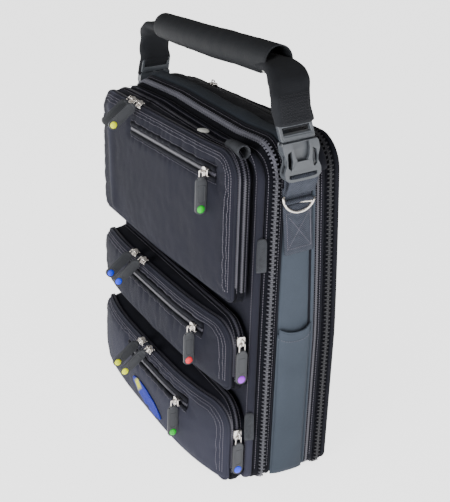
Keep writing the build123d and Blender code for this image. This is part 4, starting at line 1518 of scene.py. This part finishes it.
def grip():
    xs = [-152 + 4 * i for i in range(84)]
    cells, points = 40, []
    for layer in (0, 1):
        for x in xs:
            w = (x - 14) / 166
            wide = 19.6 - 1.6 * w * w
            tall = 19.8 - 1.6 * w * w
            cz = 521.6 + 3.4 * clamped(w)
            for k in range(cells):
                a = 2 * math.pi * k / cells
                c, s = math.cos(a), math.sin(a)
                dent = 0.7 * ripple(80, x, 14 * a, size=60.0)
                dent += 0.35 * ripple(81, x, 20 * math.sin(a), size=18.0)
                flat = 1 - 0.10 * max(0.0, -s) ** 2
                cut = 1.0 if layer == 0 else 0.9
                points.append((x, c * (wide + dent) * cut, cz + s * (tall + dent) * flat * cut))
    n = len(xs)
    faces, uvs = [], []
    for layer in (0, 1):
        for i in range(n - 1):
            for k in range(cells):
                k2 = (k + 1) % cells
                o = layer * n * cells
                face = (o + i * cells + k, o + (i + 1) * cells + k,
                        o + (i + 1) * cells + k2, o + i * cells + k2)
                faces.append(face)
                uvs.append(((xs[i], 3 * k), (xs[i + 1], 3 * k), (xs[i + 1], 3 * k + 3), (xs[i], 3 * k + 3)))
    for i in (0, n - 1):
        for k in range(cells):
            k2 = (k + 1) % cells
            o = n * cells
            faces.append((i * cells + k, i * cells + k2, o + i * cells + k2, o + i * cells + k))
            uvs.append(((0, k), (0, k + 1), (2, k + 1), (2, k)))
    made = tidy_mesh(mesh_piece("grip_sleeve", points, faces, grip_rubber, uvs))
    finish_piece(leaning(made, HANDLE_LEAN, PIVOT_Z, 521), "handle", "grip_rubber", "grip_wrap")
    core = tube("grip_padding", [(x, 0, 520.8) for x in range(-146, 147, 6)], 15.8, strap_cloth, 24)
    finish_piece(leaning(core, HANDLE_LEAN, PIVOT_Z, 521), "handle", "grip_rubber", "grip_core")
    beads = []
    for x, y, z in ((-146, -17.4, 517.5), (173, -16.9, 515.0), (-146, 17.4, 517.5), (173, 16.9, 515.0)):
        outwards = [(x, y - math.copysign(0.8 - 0.5 * k, y), z) for k in range(5)]
        beads.append(tube(f"bead_{x}_{y}", outwards,
                          lambda t: 2.1 * math.sqrt(max(0.02, 1 - t * t)), pale_plastic, 12))
    finish_piece(leaning(joined("grip_beads", *beads), HANDLE_LEAN, PIVOT_Z, 521), "handle",
                 "white_plastic", "grip_rivets")


grip()
print("handle made")

# %% [markdown]
# ## Small pieces on the front cap
# A flat slip pocket closes with a press stud behind the top pocket. Folded grab tabs beside the ring
# zipper give fingers something to hold while it is run. A small woven patch is sewn to the lowest pocket.


# %% Slip pocket, stud and tabs
def tab_loop(name, matrix, wide, long):
    """A folded strip of webbing: out, round and back on itself."""
    path = [(0, 0, 0), (0, 0.4, long * 0.3), (0, 1.4, long * 0.7), (0, 1.9, long * 0.93),
            (0, 0.6, long * 1.02),
            (0, -1.2, long * 0.95), (0, -1.9, long * 0.7), (0, -1.4, long * 0.3), (0, -0.8, 0)]
    loop = strap(name, path, wide, 1.3, tab_web, 0.1, 90, across=(1, 0, 0))
    soft = loop.modifiers.new("rounder", "SUBSURF")
    soft.levels = soft.render_levels = 1
    placed(loop, matrix)
    return loop


slip_grid = rounded_grid(196.0, 252.0, 425.0, 24.0, 10.0, 70, 34)
slip = panel("front_slip_cloth", slip_grid, 70, 34,
             lambda x, z: -57.2 + 0.8 * ripple(92, x, z, size=40.0) + 2.4 * max(0, (z - 400) / 25) ** 2,
             black_cloth)
wall = slip.modifiers.new("cloth thickness", "SOLIDIFY")
wall.thickness, wall.offset = 1.0 * MM, -1
finish_piece(slip, "front_cap", "pocket_nylon", "front_slip")
stud = tube("press_stud_cap", [(88, -66.0, 433.6 + 0.9 * k) for k in range(5)],
            lambda t: 7.6 * math.sqrt(max(0.03, 1 - t * t)), pale_plastic, 20)
finish_piece(stud, "front_cap", "white_plastic", "press_stud")
tab_places = [
    (Matrix.Translation((215.5, -50, 333)) @ Matrix.Rotation(math.radians(80), 4, "Z")
     @ Matrix.Rotation(math.radians(178), 4, "X"), 12, 42),
    (Matrix.Translation((215.0, -56, 106)) @ Matrix.Rotation(math.radians(75), 4, "Z")
     @ Matrix.Rotation(math.radians(176), 4, "X"), 12, 38),
]
loops = [tab_loop(f"tab_{k}", m, w, l) for k, (m, w, l) in enumerate(tab_places)]
rolled = [(0, -64.0 + 7.5 * math.cos(a), 433.0 + 7.5 * math.sin(a))
          for a in (2 * math.pi * k / 20 for k in range(21))]
loops.append(placed(strap("rolled_tab", rolled, 34, 1.8, tab_web, 0.2, 91, across=(1, 0, 0)),
                    Matrix.Translation((174, 0, 0))))
finish_piece(joined("grab_tab_cloth", *loops), "front_cap", "pocket_nylon", "grab_tabs")


# %% Woven patch
def patch_finish():
    f = Finish("woven_patch", (0.02, 0.05, 0.45), 0.65, Specular_IOR_Level=0.15)
    thread_rows = (f.uv("Y") * (2 * math.pi / (0.9 * MM))).sin()
    bar = 1 - ((f.uv("X") * 1000 + 8.0).abs() * 0.11 + (f.uv("Y") * 1000 - 41.0).abs() * 0.12 - 0.7).clamp()
    field = f.node("ShaderNodeMix", {"data_type": "RGBA"}, Factor=bar)
    field.bl.inputs[6].default_value = (0.012, 0.022, 0.30, 1)
    field.bl.inputs[7].default_value = (0.62, 0.62, 0.03, 1)
    f.tree.links.new(field.bl.outputs[2], f.shader.inputs["Base Color"])
    f.bump(thread_rows * 0.5 + f.noise(300.0) * 0.4, 0.0005, 0.8)
    return f.material


def patch():
    p = POCKETS["bottom"]
    nx, nz, points, faces = 24, 12, [], []
    for j in range(nz + 1):
        for i in range(nx + 1):
            u, v = 2 * i / nx - 1, 2 * j / nz - 1
            x, z = u * math.sqrt(1 - v * v / 2), v * math.sqrt(1 - u * u / 2)
            x, z = 20 + 47 * x, 34 + 12.5 * z - 8.5 * x
            points.append((x, on_skin(p, x, z) - 1.9, z))
    for j in range(nz):
        for i in range(nx):
            a = j * (nx + 1) + i
            faces.append((a, a + 1, a + nx + 2, a + nx + 1))
    uvs = [[(points[k][0], points[k][2]) for k in face] for face in faces]
    obj = mesh_piece("woven_patch_cloth", points, faces, patch_finish(), uvs)
    wall = obj.modifiers.new("cloth thickness", "SOLIDIFY")
    wall.thickness, wall.offset = 1.8 * MM, -1
    return finish_piece(obj, "bottom_door", "patch", "woven_patch")


patch()
print("small pieces made")

# %% [markdown]
# ## Floor and light
# A plain pale floor and wide soft lamps, as in a product studio: one large lamp in front, one from the
# right side and a small one low from the left to lift the sheen on the cloth.


# %% Floor and lamps
def studio():
    pale = Finish("studio_floor", (0.93, 0.93, 0.93), 0.9, Specular_IOR_Level=0.0,
                  Emission_Color=(1, 1, 1, 1), Emission_Strength=2.3)
    bpy.ops.mesh.primitive_plane_add(size=16, location=(0, 0, -0.0015))
    floor = bpy.context.object
    floor.name = "floor"
    floor.data.materials.append(pale.material)
    world = bpy.data.worlds.new("studio")
    world.use_nodes = True
    background = world.node_tree.nodes["Background"]
    background.inputs["Color"].default_value = (1, 1, 1, 1)
    background.inputs["Strength"].default_value = 0.30
    bpy.context.scene.world = world
    aim = Vector((0, -0.03, 0.25))
    for name, place, size, power in (("key", (1.2, -2.2, 0.6), 1.1, 50), ("left", (-1.7, -1.5, 0.6), 0.7, 8),
                                     ("side", (2.4, 0.2, 0.7), 1.0, 22)):
        lamp = bpy.data.lights.new(name, "AREA")
        lamp.size, lamp.energy = size, power
        obj = bpy.data.objects.new(name, lamp)
        obj.location = place
        obj.rotation_euler = (aim - Vector(place)).to_track_quat("-Z", "Y").to_euler()
        bpy.context.scene.collection.objects.link(obj)


studio()
